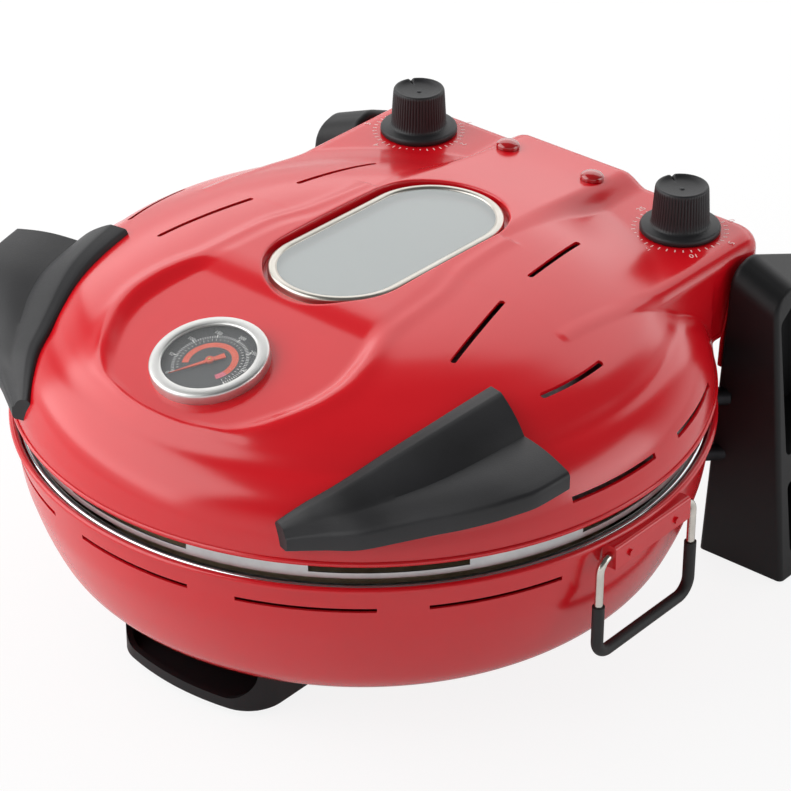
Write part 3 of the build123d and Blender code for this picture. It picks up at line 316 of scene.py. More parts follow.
def cut(piece: Piece, bars: Iterable[Bar], sharp: float = 32.0) -> None:
    """Cuts upright bars out of a closed piece and shades it again.

    Args:
        piece: the piece.
        bars: what to cut out.
        sharp: edges that turn more than this many degrees stay crisp.
    """
    cutter = upright_bars("cutter", bars)
    tool = piece.modifiers.new("cut", "BOOLEAN")
    tool.operation = "DIFFERENCE"
    tool.solver = "EXACT"
    tool.object = cutter
    apply_modifiers(piece)
    bpy.data.objects.remove(cutter)
    shade(piece, sharp)


# ---- finishes
def add_node(tree: Tree, kind: str, inputs: Optional[dict[str | int, Any]] = None, **settings: Any) -> Node:
    """Adds a node with its settings and links.

    Args:
        tree: the node tree.
        kind: node type name.
        inputs: by an input's name or number, its value, or the node or socket that feeds it.
        settings: attributes of the node.

    Returns:
        The new node.
    """
    node = tree.nodes.new(kind)
    for key, value in settings.items():
        setattr(node, key, value)
    for key, value in (inputs or {}).items():
        source = value.outputs[0] if isinstance(value, Node) else value
        if isinstance(source, bpy.types.NodeSocket):
            tree.links.new(source, node.inputs[key])
        else:
            node.inputs[key].default_value = source
    return node


def fresh_tree(owner: Material | bpy.types.World) -> Tree:
    """Empties the node tree of a material or a world."""
    owner.use_nodes = True
    owner.node_tree.nodes.clear()
    return owner.node_tree


@dataclass(frozen=True)
class Surface:
    """A named material; each kind adds its own shader."""

    name: str

    def build(self) -> Material:
        """Builds the material, or returns it if it is already there."""
        material = bpy.data.materials.get(self.name)
        if material is None:
            material = bpy.data.materials.new(self.name)
            tree = fresh_tree(material)
            add_node(tree, "ShaderNodeOutputMaterial", {"Surface": self.shader(tree)})
        return material

    def shader(self, tree: Tree) -> Node:
        """Adds the surface's nodes and returns the last one."""
        raise NotImplementedError


@dataclass(frozen=True)
class Finish(Surface):
    """One shader with a mottled colour and a fine bump, the sizes of both in millimetres."""

    colour: str
    second: str
    mottle: float
    roughness: float
    grain: float = 0.0
    grain_height: float = 0.0
    metallic: float = 0.0
    rough_swing: float = 0.0
    coat: float = 0.0
    coat_roughness: float = 0.03
    coat_ior: float = 1.5
    specular: float = 0.5
    ior: float = 1.5
    anisotropic: float = 0.0

    def shader(self, tree: Tree) -> Node:
        """Adds the finish's nodes.

        Args:
            tree: the material's node tree.

        Returns:
            The shader.
        """
        where = add_node(tree, "ShaderNodeTexCoord").outputs["Object"]
        cloud = {"Vector": where, "Scale": 1000.0 / self.mottle, "Detail": 4.0, "Roughness": 0.6}
        ramp = add_node(tree, "ShaderNodeValToRGB", {"Fac": add_node(tree, "ShaderNodeTexNoise", cloud)})
        for stop, where_to, code in zip(ramp.color_ramp.elements, (0.35, 0.65), (self.colour, self.second)):
            stop.position, stop.color = where_to, linear(code)
        inputs = {
            "Base Color": ramp, "Metallic": self.metallic, "Roughness": self.roughness,
            "Anisotropic": self.anisotropic, "Coat Weight": self.coat, "Coat Roughness": self.coat_roughness,
            "Coat IOR": self.coat_ior,
        }
        if not self.metallic:
            inputs |= {"IOR": self.ior, "Specular IOR Level": self.specular}
        if self.grain:
            fine = {"Vector": where, "Scale": 1000.0 / self.grain, "Detail": 3.0, "Roughness": 0.55}
            grain = add_node(tree, "ShaderNodeTexNoise", fine)
            relief = {"Strength": 1.0, "Distance": self.grain_height * MM, "Height": grain}
            inputs["Normal"] = add_node(tree, "ShaderNodeBump", relief)
            if self.rough_swing:
                low, high = self.roughness - self.rough_swing, self.roughness + self.rough_swing
                spread = {"Value": grain, "To Min": low, "To Max": high}
                inputs["Roughness"] = add_node(tree, "ShaderNodeMapRange", spread)
        return add_node(tree, "ShaderNodeBsdfPrincipled", inputs)


@dataclass(frozen=True)
class Glazing(Surface):
    """Clear tempered glass with a faint grey film mixed in, strongest on the window: partly the glass's own
    tint, partly painted reflection of the lamps.
    """

    film: str
    film_share: float
    film_roughness: float = 0.35
    polish: float = 0.02
    ior: float = 1.45

    def shader(self, tree: Tree) -> Node:
        """Adds the glass's nodes, so that only outer faces mirror.

        Args:
            tree: the material's node tree.

        Returns:
            The last shader.
        """
        # Painted reflection: a lit pale grey film, partly the glass's own tint, mixed into the clear glass.
        coated = {"Base Color": linear(self.film), "Roughness": self.film_roughness, "Coat Weight": 1.0}
        film = add_node(tree, "ShaderNodeBsdfPrincipled", coated | {"Coat Roughness": self.polish})
        clear = add_node(tree, "ShaderNodeBsdfTransparent")
        tint_and_reflection_mix = add_node(tree, "ShaderNodeMixShader", {0: self.film_share, 1: clear, 2: film})
        back = add_node(tree, "ShaderNodeNewGeometry").outputs["Backfacing"]
        front = add_node(tree, "ShaderNodeMath", {0: 1.0, 1: back}, operation="SUBTRACT")
        edge = add_node(tree, "ShaderNodeFresnel", {"IOR": self.ior})
        shine = add_node(tree, "ShaderNodeMath", {0: edge, 1: front}, operation="MULTIPLY")
        gloss = add_node(tree, "ShaderNodeBsdfGlossy", {"Roughness": self.polish})
        return add_node(tree, "ShaderNodeMixShader", {0: shine, 1: tint_and_reflection_mix, 2: gloss})


# Stoving enamel on pressed steel: deep red under a hard clear gloss with a trace of orange peel.
RED_ENAMEL = Finish(
    "red_stoving_enamel", "D90F1D", "D30C1A", 120.0, 0.4, 9.0, 0.012,
    coat=1.0, coat_roughness=0.2, coat_ior=1.62, specular=0.0,
)
# Glass-filled nylon moulding: near-black, fine spark-eroded grain that scatters light.
GRAINED_NYLON = Finish("grained_nylon", "19191B", "1D1D20", 25.0, 0.5, 0.9, 0.05, rough_swing=0.08)
# Polypropylene moulding of the foot and stands: black with a light etched texture.
BLACK_POLYPROPYLENE = Finish("black_polypropylene", "101012", "141416", 25.0, 0.5, 0.9, 0.04, specular=0.35)
# Phenolic moulding of the switch bodies: dark brown-black and slightly shiny.
PHENOLIC = Finish("phenolic_moulding", "1F1B19", "241F1C", 20.0, 0.45, 1.5, 0.02)
# Silicone sleeve on the bails: flat black.
SILICONE_SLEEVE = Finish("silicone_sleeve", "141415", "19191A", 10.0, 0.6, 0.8, 0.03)
# Brushed stainless steel trim: fine lines along the length, warm grey.
BRUSHED_STAINLESS = Finish(
    "brushed_stainless", "CFCAC2", "C7C2B9", 15.0, 0.3, 0.6, 0.008,
    metallic=1.0, rough_swing=0.06, anisotropic=0.4,
)
# Satin stainless steel of the thermometer rim: bead-blasted before polishing, so it mirrors only softly.
SATIN_STAINLESS = Finish("satin_stainless", "DCDCDA", "D5D5D3", 12.0, 0.4, 0.7, 0.005, metallic=1.0)
# Blackened steel of the fixings between bowl and stands: dark oxide with a dull sheen.
BLACKENED_STEEL = Finish("blackened_steel", "2C2C2E", "343437", 6.0, 0.45, metallic=1.0)
# Bright drawn stainless wire of the bails.
DRAWN_WIRE = Finish("drawn_stainless_wire", "D8D4CC", "CECAC2", 6.0, 0.2, 0.5, 0.004, metallic=1.0)
# Chromium plate on the pan: mirror bright with a faint waviness from pressing.
CHROMIUM = Finish("chromium_plate", "DADBDD", "D2D3D6", 30.0, 0.1, 22.0, 0.03, metallic=1.0)
# Aluminised steel sheet of the reflector: satin, with a rolled grain.
ALUMINISED = Finish(
    "aluminised_sheet", "C9CACB", "BDBFC0", 12.0, 0.34, 1.2, 0.01, metallic=1.0, rough_swing=0.08,
)
# Bright zinc plate on fixings: pale grey with a soft shine.
ZINC_PLATE = Finish("zinc_plate", "B9BBBE", "A9ACB0", 8.0, 0.32, 1.0, 0.01, metallic=1.0)
# Turned brass of the bushes and the thermometer's stem: yellow with fine tool marks.
TURNED_BRASS = Finish("turned_brass", "C9A458", "BF984A", 6.0, 0.25, 0.6, 0.005, metallic=1.0)
# Oxidised heater sheath: dull grey-brown.
HEATER_SHEATH = Finish("oxidised_sheath", "5C5753", "4A4644", 10.0, 0.55, 0.7, 0.02, metallic=1.0)
# Cordierite baking stone, pressed and fired: sandy, matte and pitted.
CORDIERITE = Finish("cordierite", "CDBB9A", "BFA986", 9.0, 0.9, 1.4, 0.2)
# Moulded rubber pads and seals: matte black.
PAD_RUBBER = Finish("moulded_rubber", "18181A", "1E1E20", 12.0, 0.75, 0.8, 0.04)
# Screen-printed dial: flat charcoal ink.
DIAL_INK = Finish("dial_ink", "35383B", "393C3F", 10.0, 0.6, 0.5, 0.004)
# White pad print on the dial: flat and opaque.
WHITE_PRINT = Finish("white_pad_print", "E9EAE8", "E2E3E1", 4.0, 0.55)
# Pale print on the enamel round the knobs.
SCALE_PRINT = Finish("scale_pad_print", "F2C9C6", "EFC2BF", 4.0, 0.45)
# Orange enamel paint on the needle and the heat band.
ORANGE_PAINT = Finish("orange_paint", "E8552B", "E04C22", 6.0, 0.4)
# Pink-red paint at the hot end of the band.
PINK_PAINT = Finish("pink_paint", "E0647A", "DA5B72", 6.0, 0.4)
# Polycarbonate lamp lens, polished in the mould: deep red with a sharp gloss.
LAMP_LENS = Finish("lamp_polycarbonate", "A80D14", "B4121A", 5.0, 0.12, coat=1.0, coat_roughness=0.02)
# Soot-black paint on the sheet that closes the control box.
SOOT_PAINT = Finish("soot_paint", "161313", "1B1716", 20.0, 0.8)
# Tempered glass of the window; its grey film is partly the glass's own tint and partly painted reflection of
# the lamps.
WINDOW_GLASS = Glazing("tempered_glass", "BCC5C4", 0.5)
# Clean cover glass of the thermometer; its faint grey film is partly tint and partly painted reflection of
# the lamps.
DIAL_GLASS = Glazing("dial_glass", "C8CCCC", 0.04)

# The CAD nodes that are shown as they are.
NODE_FINISHES: dict[Surface, tuple[str, ...]] = {
    ALUMINISED: ("heat_shield", "lid_reflector"),
    ZINC_PLATE: (
        "pan_standoffs", "standoff_screws", "lower_heater_clips", "stone_supports", "foot_screws",
        "reflector_posts", "reflector_nuts", "upper_heater_clips", "window_clamp", "window_screws",
        "thermometer_nut", "wing_screws", "thermostat_shaft", "timer_shaft",
    ),
    HEATER_SHEATH: ("lower_heater", "upper_heater"),
    CORDIERITE: ("pizza_stone",),
    BLACK_POLYPROPYLENE: ("front_foot", "rear_stand_left", "rear_stand_right"),
    PAD_RUBBER: ("stand_pads", "front_pads", "cord_gland", "window_seal"),
    BLACKENED_STEEL: ("stand_spacers", "stand_bolts"),
    DRAWN_WIRE: ("hinge_pins", "bail_left", "bail_right"),
    RED_ENAMEL: (
        "hinge_plate_left", "hinge_plate_right", "bail_bracket_left", "bail_bracket_right", "bracket_rivets",
    ),
    SOOT_PAINT: ("rear_cover",),
    WINDOW_GLASS: ("window_glass",),
    DIAL_INK: ("thermometer_dial",),
    DIAL_GLASS: ("thermometer_lens",),
    TURNED_BRASS: ("thermometer_stem", "hinge_bushes"),
    PHENOLIC: ("lamp_holders", "thermostat_body", "timer_body"),
    ORANGE_PAINT: ("thermometer_needle",),
    SILICONE_SLEEVE: ("bail_grip_left", "bail_grip_right"),
}


def dress(piece: Piece, finish: Surface, node: str = "") -> Piece:
    """Gives a piece a single finish.

    Args:
        piece: the piece.
        finish: what it is made of.
        node: the CAD node that it stands for, if any.

    Returns:
        The piece.
    """
    piece.data.materials.clear()
    piece.data.materials.append(finish.build())
    if node:
        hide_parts(node)
    return piece


# ---- repeated bars and print
@dataclass(frozen=True)
class BarRing:
    """Flat bars repeated round a circle, all sizes in millimetres and degrees."""

    count: int
    radius: float
    first: float
    step: float
    length: float
    width: float
    height: float

    def tree(self, material: Material) -> Tree:
        """Builds the tree that sets the bars out.

        Args:
            material: what the bars are made of.

        Returns:
            A geometry tree whose named inputs are the ring's sizes.
        """
        tree = bpy.data.node_groups.new("bar_ring", "GeometryNodeTree")
        tree.interface.new_socket("Geometry", in_out="OUTPUT", socket_type="NodeSocketGeometry")
        tree.interface.new_socket("Count", in_out="INPUT", socket_type="NodeSocketInt")
        for label in ("Radius", "First", "Step", "Length", "Width", "Height"):
            tree.interface.new_socket(label, in_out="INPUT", socket_type="NodeSocketFloat")
        given = add_node(tree, "NodeGroupInput").outputs
        index = add_node(tree, "GeometryNodeInputIndex")
        stepped = add_node(tree, "ShaderNodeMath", {0: index, 1: given["Step"]}, operation="MULTIPLY")
        angle = add_node(tree, "ShaderNodeMath", {0: stepped, 1: given["First"]}, operation="ADD")
        arm = add_node(tree, "ShaderNodeCombineXYZ", {"X": given["Radius"]})
        swing = {"Vector": arm, "Angle": angle}
        swung = add_node(tree, "ShaderNodeVectorRotate", swing, rotation_type="Z_AXIS")
        spots = add_node(tree, "GeometryNodePoints", {"Count": given["Count"]})
        moved = add_node(tree, "GeometryNodeSetPosition", {"Geometry": spots, "Position": swung})
        sizes = {"X": given["Length"], "Y": given["Width"], "Z": given["Height"]}
        bar = add_node(tree, "GeometryNodeMeshCube", {"Size": add_node(tree, "ShaderNodeCombineXYZ", sizes)})
        turn = add_node(tree, "ShaderNodeCombineXYZ", {"Z": angle})
        repeat = {"Points": moved, "Instance": bar, "Rotation": turn}
        copies = add_node(tree, "GeometryNodeInstanceOnPoints", repeat)
        solid = add_node(tree, "GeometryNodeRealizeInstances", {"Geometry": copies})
        painted = add_node(tree, "GeometryNodeSetMaterial", {"Geometry": solid, "Material": material})
        add_node(tree, "NodeGroupOutput", {"Geometry": painted})
        return tree

    def build(self, name: str, finish: Surface, place: Matrix) -> Piece:
        """Makes the bars as one plain mesh.

        Args:
            name: object name.
            finish: what the bars are made of.
            place: centre and plane of the circle.

        Returns:
            The finished object.
        """
        piece = linked(name, bpy.data.meshes.new(name))
        modifier = piece.modifiers.new("bars", "NODES")
        modifier.node_group = self.tree(finish.build())
        for item in modifier.node_group.interface.items_tree:
            if item.in_out == "INPUT":
                value = getattr(self, item.name.lower())
                modifier[item.identifier] = math.radians(value) if item.name in ("First", "Step") else value
        apply_modifiers(piece)
        piece.data.transform(place)
        shade(piece, 35.0)
        return piece


@dataclass(frozen=True)
class Lettering:
    """Plain numbers round a circle, all sizes in millimetres and degrees."""

    words: tuple[str, ...]
    radius: float
    first: float
    step: float
    size: float
    thick: float
    inward: bool = False  # turns each number's foot to the centre

    def build(self, name: str, finish: Surface, place: Matrix) -> Piece:
        """Lays the numbers out as one mesh.

        Args:
            name: object name.
            finish: what the numbers are printed in.
            place: centre and plane of the circle.

        Returns:
            The finished object.
        """
        work = bmesh.new()
        for index, word in enumerate(self.words):
            curve = bpy.data.curves.new("number", "FONT")
            curve.body = word
            curve.size = self.size
            curve.align_x = curve.align_y = "CENTER"
            curve.extrude = self.thick / 2
            curve.resolution_u = 3
            holder = linked("number", curve)
            bpy.context.view_layer.update()
            flat = plain_mesh(holder)
            angle = math.radians(self.first + index * self.step)
            spin = Matrix.Rotation(angle - math.pi / 2 if self.inward else 0.0, 4, "Z")
            spot = Matrix.Translation((self.radius * math.cos(angle), self.radius * math.sin(angle), 0))
            flat.transform(place @ spot @ spin)
            work.from_mesh(flat)
            bpy.data.objects.remove(holder)
            bpy.data.curves.remove(curve)
            bpy.data.meshes.remove(flat)
        mesh = bpy.data.meshes.new(name)
        work.to_mesh(mesh)
        work.free()
        return dress(linked(name, mesh), finish)


def tilted_place(y: float, lift: float, lean: float) -> Matrix:
    """Leaning plane on the middle line, from its millimetres to the frame.

    Args:
        y: place behind the round axis.
        lift: height above the lid edge.
        lean: degrees that the plane's normal leans back.

    Returns:
        The matrix.
    """
    return LID_FRAME @ Matrix.Translation((0.0, y, lift)) @ Matrix.Rotation(-math.radians(lean), 4, "X")


# ---- lid
@dataclass(frozen=True)
class LidForm:
    """Sizes of the pressed lid, in millimetres about the round axis and the lid's lower edge."""

    radius: float = 185.0
    wall: float = 1.5
    box_half_width: float = 127.5
    box_rear: float = 184.5
    box_corner: float = 18.0
    box_round: float = 9.0
    box_under: float = 6.0
    box_wall_slope: float = 15.0
    box_fillet: float = 9.0
    box_foot: float = 6.0
    box_front: float = 10.0
    foot_run: Pair = (0.0, 12.0)
    foot_least: float = 0.2
    flank_front: float = 30.0
    shoulder: float = 54.5
    window_y: float = 19.5
    window_lift: float = 70.6
    window_lean: float = 0.92
    window_half_length: float = 74.4
    recess_half_width: float = 40.4
    recess_depth: float = 4.8
    opening_half_width: float = 32.1
    trim_half_width: float = 37.7
    facet_y: float = -115.0
    facet_lift: float = 55.0
    facet_lean: float = 12.7
    edge_roll: float = 1.5
    lip_height: float = 0.9
    lip_width: float = 5.0
    lip_place: float = 0.62
    lip_run: Pair = (-160.0, -150.0)
    hump_drop: float = 30.0
    shoulder_run: Pair = (20.0, 70.0)
    under_run: Pair = (128.0, 137.0)
    facet_run: Pair = (-64.0, -40.0)
    side_run: Pair = (11.0, 15.0)
    side_widens: Pair = (60.0, 110.0)
    # Bounds of the search for the box's edge, and how often they are halved.
    search: Pair = (10.0, 400.0)
    halvings: int = 40
    # Height of the round dome by distance from the axis.
    dome: Curve = (
        (0, 72.5), (45, 72.1), (70, 71.1), (87, 69.6), (102, 67.2), (118, 63.2), (133, 57.9), (147, 51.6),
        (157, 44.2), (163, 38.6), (168, 35.4), (173, 31.2), (178, 25.2), (181.5, 18.5), (183.8, 11.5),
        (184.8, 5.0), (185.0, 0.0),
    )
    # Half width of the middle form, from the scooped front to the rear hump, by place behind the axis.
    scoop: Curve = (
        (-156, 0), (-154.5, 14), (-150, 29), (-146, 41), (-138, 50), (-129, 56), (-118, 62), (-108, 66),
        (-95, 68), (-82, 66.4), (-70, 63), (-50, 56), (-10, 52.5), (21, 44), (60, 41), (190, 41),
    )
    # Height of the middle form by place behind the axis.
    ridge: Curve = (
        (-42, 72.4), (0, 73.2), (40, 73.0), (60, 72.3), (94, 69.5), (156, 62.8), (190, 60.3),
    )

    @staticmethod
    def curve(knots: Curve, wanted: Array) -> Array:
        """Heights or widths on a smooth curve through knots, held at its ends."""
        places, values = np.array(knots, float).T
        return monotone(places, values, np.clip(wanted, places[0], places[-1]))

    def box_inset(self, x: Array, y: Array) -> Array:
        """Distance inside the outline of the rear box.

        Args:
            x: distances to the right of the axis.
            y: distances behind the axis.

        Returns:
            Distances, negative outside.
        """
        qx = np.abs(x) - (self.box_half_width - self.box_corner)
        qy = y - (self.box_rear - self.box_corner)
        outside = np.hypot(np.maximum(qx, 0), np.maximum(qy, 0)) + np.minimum(np.maximum(qx, qy), 0)
        return self.box_corner - outside

    def height(self, x: Array, y: Array) -> Array:
        """Height of the lid's top surface above its lower edge.

        Args:
            x: distances to the right of the axis.
            y: distances behind the axis.

        Returns:
            Heights in millimetres.
        """
        dome = self.curve(self.dome, np.hypot(x, y))
        inset = self.box_inset(x, y)
        near = np.clip(self.box_round - inset, 0, self.box_round)
        drop = self.box_round - np.sqrt(np.maximum(self.box_round**2 - near**2, 0))
        drop = drop + np.where(inset < 0, -self.box_wall_slope * inset, 0)
        plateau = smooth_max(dome, np.full_like(dome, self.shoulder), self.box_fillet)
        boxed = dome + (plateau - dome) * smoothstep(*self.shoulder_run, y) - drop
        foot = np.maximum(self.box_foot * (1 - smoothstep(*self.foot_run, inset)), self.foot_least)
        base = np.where(y > self.box_front, smooth_max(dome, boxed, foot), dome)
        return self.keyhole(x, y, base, drop * (y > 0))

    def keyhole(self, x: Array, y: Array, base: Array, drop: Array) -> Array:
        """Blends the scooped front, the window table and the rear hump into the base form.

        Args:
            x: distances to the right of the axis.
            y: distances behind the axis.
            base: heights of the dome and the box.
            drop: how far the box's rounded edges fall.

        Returns:
            Heights in millimetres.
        """
        facet = self.facet_lift + (y - self.facet_y) * math.tan(math.radians(self.facet_lean))
        top = self.curve(self.ridge, y) - np.minimum(drop, self.hump_drop)
        centre = facet + (top - facet) * smoothstep(*self.facet_run, y)
        edge = self.curve(self.scoop, y) - np.abs(x)
        narrow, wide = self.side_run
        reach = narrow + (wide - narrow) * smoothstep(*self.side_widens, y)
        weight = smoothstep(-reach / 2, reach / 2, edge) * (y > self.scoop[0][0])
        away = (edge + reach * self.lip_place) / self.lip_width
        lip = self.lip_height * np.exp(-(away**2)) * (y < self.side_widens[0])
        return base + (centre - base) * weight + lip * smoothstep(*self.lip_run, y)

    def outline(self, turn: Array) -> Array:
        """Plan outline of the lid.

        Args:
            turn: angles about the window centre, in radians.

        Returns:
            The outline's point at each angle.
        """
        c, s = np.cos(turn), np.sin(turn)
        b = self.window_y * s
        round_reach = -b + np.sqrt(b**2 + self.radius**2 - self.window_y**2)
        low, high = (np.full_like(turn, bound) for bound in self.search)
        for _ in range(self.halvings):
            middle = (low + high) / 2
            inside = self.box_inset(middle * c, self.window_y + middle * s) > 0
            inside &= self.window_y + middle * s > self.flank_front
            low, high = np.where(inside, middle, low), np.where(inside, high, middle)
        reach = np.maximum(round_reach, low)
        return np.stack([reach * c, self.window_y + reach * s], axis=1)

    def slot(self, half_width: float, turn: Array) -> Array:
        """Outline about the window centre that keeps an even distance from the trim's."""
        return stadium(half_width, self.window_half_length + half_width - self.trim_half_width, turn)


FORM = LidForm()


@dataclass
class LidShell:
    """Pressed red lid as a closed shell with a recess for the window and real slots."""

    form: LidForm = FORM
    columns: int = 440
    samples: int = 420
    crowding: float = 1.6  # gathers the samples at the edge
    outer_rows: int = 118
    inner_rows: int = 34
    lip: float = 1.1
    seam: float = 2.6
    rim_gap: float = 1.9
    steepest: float = 6.0
    flat_flank: Pair = (126.0, 134.0)  # the box's side is flat outside this X and behind this Y
    vent_width: float = 3.2
    long_vents: tuple[Curve, ...] = (
        ((79.4, 38.8), (75.5, 63.1), (70.4, 89.8)),
        ((99.8, -47.5), (93.6, -21.8), (86.0, 7.4)),
    )
    long_vent_span: Pair = (30.0, 90.0)
    crown_vent: Point = (144.0, -11.4, 5.7)
    crown_vent_span: Pair = (30.0, 70.0)
    skirt_vents: Curve = ((-15.3, 3.4), (10.5, 27.5))
    skirt_vent_reach: Pair = (172.0, 192.0)
    skirt_vent_span: Pair = (15.0, 18.0)

    def turns(self) -> Array:
        """Column angles about the window centre, closer together at the box corners."""
        fine = np.linspace(0, 2 * math.pi, 4000)
        density = 1 + sum(1.5 * np.exp(-(((np.degrees(fine) - corner) / 13) ** 2)) for corner in (44, 136))
        run = np.concatenate([[0], np.cumsum((density[1:] + density[:-1]) / 2)])
        return np.interp(np.arange(self.columns) / self.columns * run[-1], run, fine)

    def column(self, edge: Array, inner: Array, outer: Array) -> Array:
        """One closed run of points from the window opening, over the top, round the edge and back inside.

        Args:
            edge: plan place on the window opening.
            inner: plan place on the recess wall.
            outer: plan place on the lid's outline.

        Returns:
            Points in millimetres.
        """
        form = self.form
        reach = np.linalg.norm(outer - inner)
        way = (outer - inner) / reach
        window = form.window_lift - (inner[1] - form.window_y) * math.tan(math.radians(form.window_lean))
        floor = window - form.recess_depth
        start = inner + way * self.lip
        spread = 1 - (1 - np.linspace(0, 1, self.samples)) ** self.crowding
        plan = start + (outer - start) * spread[:, None]
        lift = form.height(*plan.T)
        low = form.box_under * smoothstep(*form.under_run, outer[1])
        seam = low + self.seam
        surface = np.column_stack([plan, lift])[lift > seam]
        wall = np.linspace(surface[-1], [*outer, seam], 24)[1:]
        top = resample(np.vstack([surface, wall]), self.outer_rows)
        crest = surface[0, 2]
        bend = [
            [*(start - way * self.lip * math.sin(a)), crest - self.lip * (1 - math.cos(a))]
            for a in np.radians([70, 45, 20])
        ]
        recess = [
            [*edge, floor], [*(inner - 0.4 * way), floor], [*inner, floor + 0.4],
            [*inner, max(crest - self.lip, floor + 0.5)],
        ]
        flat_side = abs(outer[0]) >= self.flat_flank[0] and outer[1] >= self.flat_flank[1]
        normal = np.array([np.sign(outer[0]), 0]) if flat_side else outer / np.linalg.norm(outer)
        bead = form.edge_roll
        roll = [
            [*(outer + normal * (bead * math.cos(a) - 0.3)), low + bead * (1 + math.sin(a))]
            for a in np.radians([60, 25, -10, -45, -90, -135, 180])
        ]
        slope = np.abs(np.gradient(lift, np.linalg.norm(plan - start, axis=1) + 1e-9))
        drop = form.wall * np.sqrt(1 + np.minimum(slope, self.steepest) ** 2)
        inside = np.column_stack([plan - way * 0.2, lift - drop])
        far = np.linalg.norm(inside[:, :2] - inner, axis=1)
        inside = inside[(far < reach - self.rim_gap) & (far > form.wall) & (inside[:, 2] > seam)][::-1]
        rim = [*(outer - way * self.rim_gap), seam]
        under = [*(inner + way * form.wall), floor - form.wall]
        lining = resample(np.vstack([rim, inside, under]), self.inner_rows)
        return np.vstack([recess, bend, top, roll, lining, [[*edge, floor - form.wall]]])

    def build(self) -> Piece:
        """Builds, cuts and paints the lid."""
        form, turn = self.form, self.turns()
        centre = np.array([0.0, form.window_y])
        edge = centre + form.slot(form.opening_half_width, turn)
        inner = centre + form.slot(form.recess_half_width, turn)
        columns = [self.column(*plans) for plans in zip(edge, inner, form.outline(turn))]
        points = np.stack(columns, axis=1)
        faces = grid_faces(len(points), self.columns, wrap_rows=True)
        lid = new_piece("red_lid", points.reshape(-1, 3), faces)
        cut(lid, self.vents())
        return dress(lid, RED_ENAMEL, "lid_shell")

    def vents(self) -> list[Bar]:
        """What every slot cuts out."""
        half, t = self.vent_width / 2, np.linspace(0, 1, 25)[:, None]
        slots = []
        for start, middle, end in np.array(self.long_vents):
            control = 2 * middle - (start + end) / 2
            line = (1 - t) ** 2 * start + 2 * t * (1 - t) * control + t**2 * end
            slots.append((self.round_slot(line, half), *self.long_vent_span))
        crown = arc_points((0, 0), *self.crown_vent, 25)
        slots.append((self.round_slot(crown, half), *self.crown_vent_span))
        for first, last in self.skirt_vents:
            slots.append((sector(*self.skirt_vent_reach, first, last, 20), *self.skirt_vent_span))
        return slots + [(outline * [-1, 1], low, high) for outline, low, high in slots]

    @staticmethod
    def round_slot(line: Array, half: float) -> Array:
        """Closed outline of a round-ended band about a line.

        Args:
            line: plan points along the middle.
            half: half of the width.

        Returns:
            The outline's points.
        """
        run = np.gradient(line, axis=0)
        run /= np.linalg.norm(run, axis=1)[:, None]
        across = np.stack([run[:, 1], -run[:, 0]], axis=1)
        ends = []
        for end, toward in ((line[-1], run[-1]), (line[0], -run[0])):
            start = math.degrees(math.atan2(toward[1], toward[0])) - 90
            ends.append(arc_points(end, half, start, start + 180, 9)[1:-1])
        return np.vstack([line + across * half, ends[0], (line - across * half)[::-1], ends[1]])


@dataclass
class Window:
    """Bright trim ring with a rounded bead, set in the lid's recess."""

    form: LidForm = FORM
    bead: float = 4.6
    bead_round: float = 1.6
    step_lift: float = 3.75
    ledge: float = 3.0
    columns: int = 192

    def build(self) -> Piece:
        """Builds the trim ring."""
        form, depth = self.form, self.form.recess_depth
        half, rise = self.bead / 2, self.bead_round
        crown = arc_points((0, 0), 1.0, 180, 0, 13) * [half, rise] + [half, depth - rise]
        step = [(self.bead, self.step_lift), (self.ledge, self.step_lift), (self.ledge, 0.0)]
        section = np.vstack([[(0.0, 0.0)], crown, step]) - [0, depth]
        turn = np.linspace(0, 2 * math.pi, self.columns, endpoint=False)
        rows = [
            np.column_stack([form.slot(form.trim_half_width - inset, turn), np.full_like(turn, lift)])
            for inset, lift in section
        ]
        faces = grid_faces(len(section), self.columns, wrap_rows=True)
        plane = tilted_place(form.window_y, form.window_lift, form.window_lean)
        trim = new_piece("window_trim_ring", np.vstack(rows), faces, 40.0, plane)
        return dress(trim, BRUSHED_STAINLESS, "window_trim")


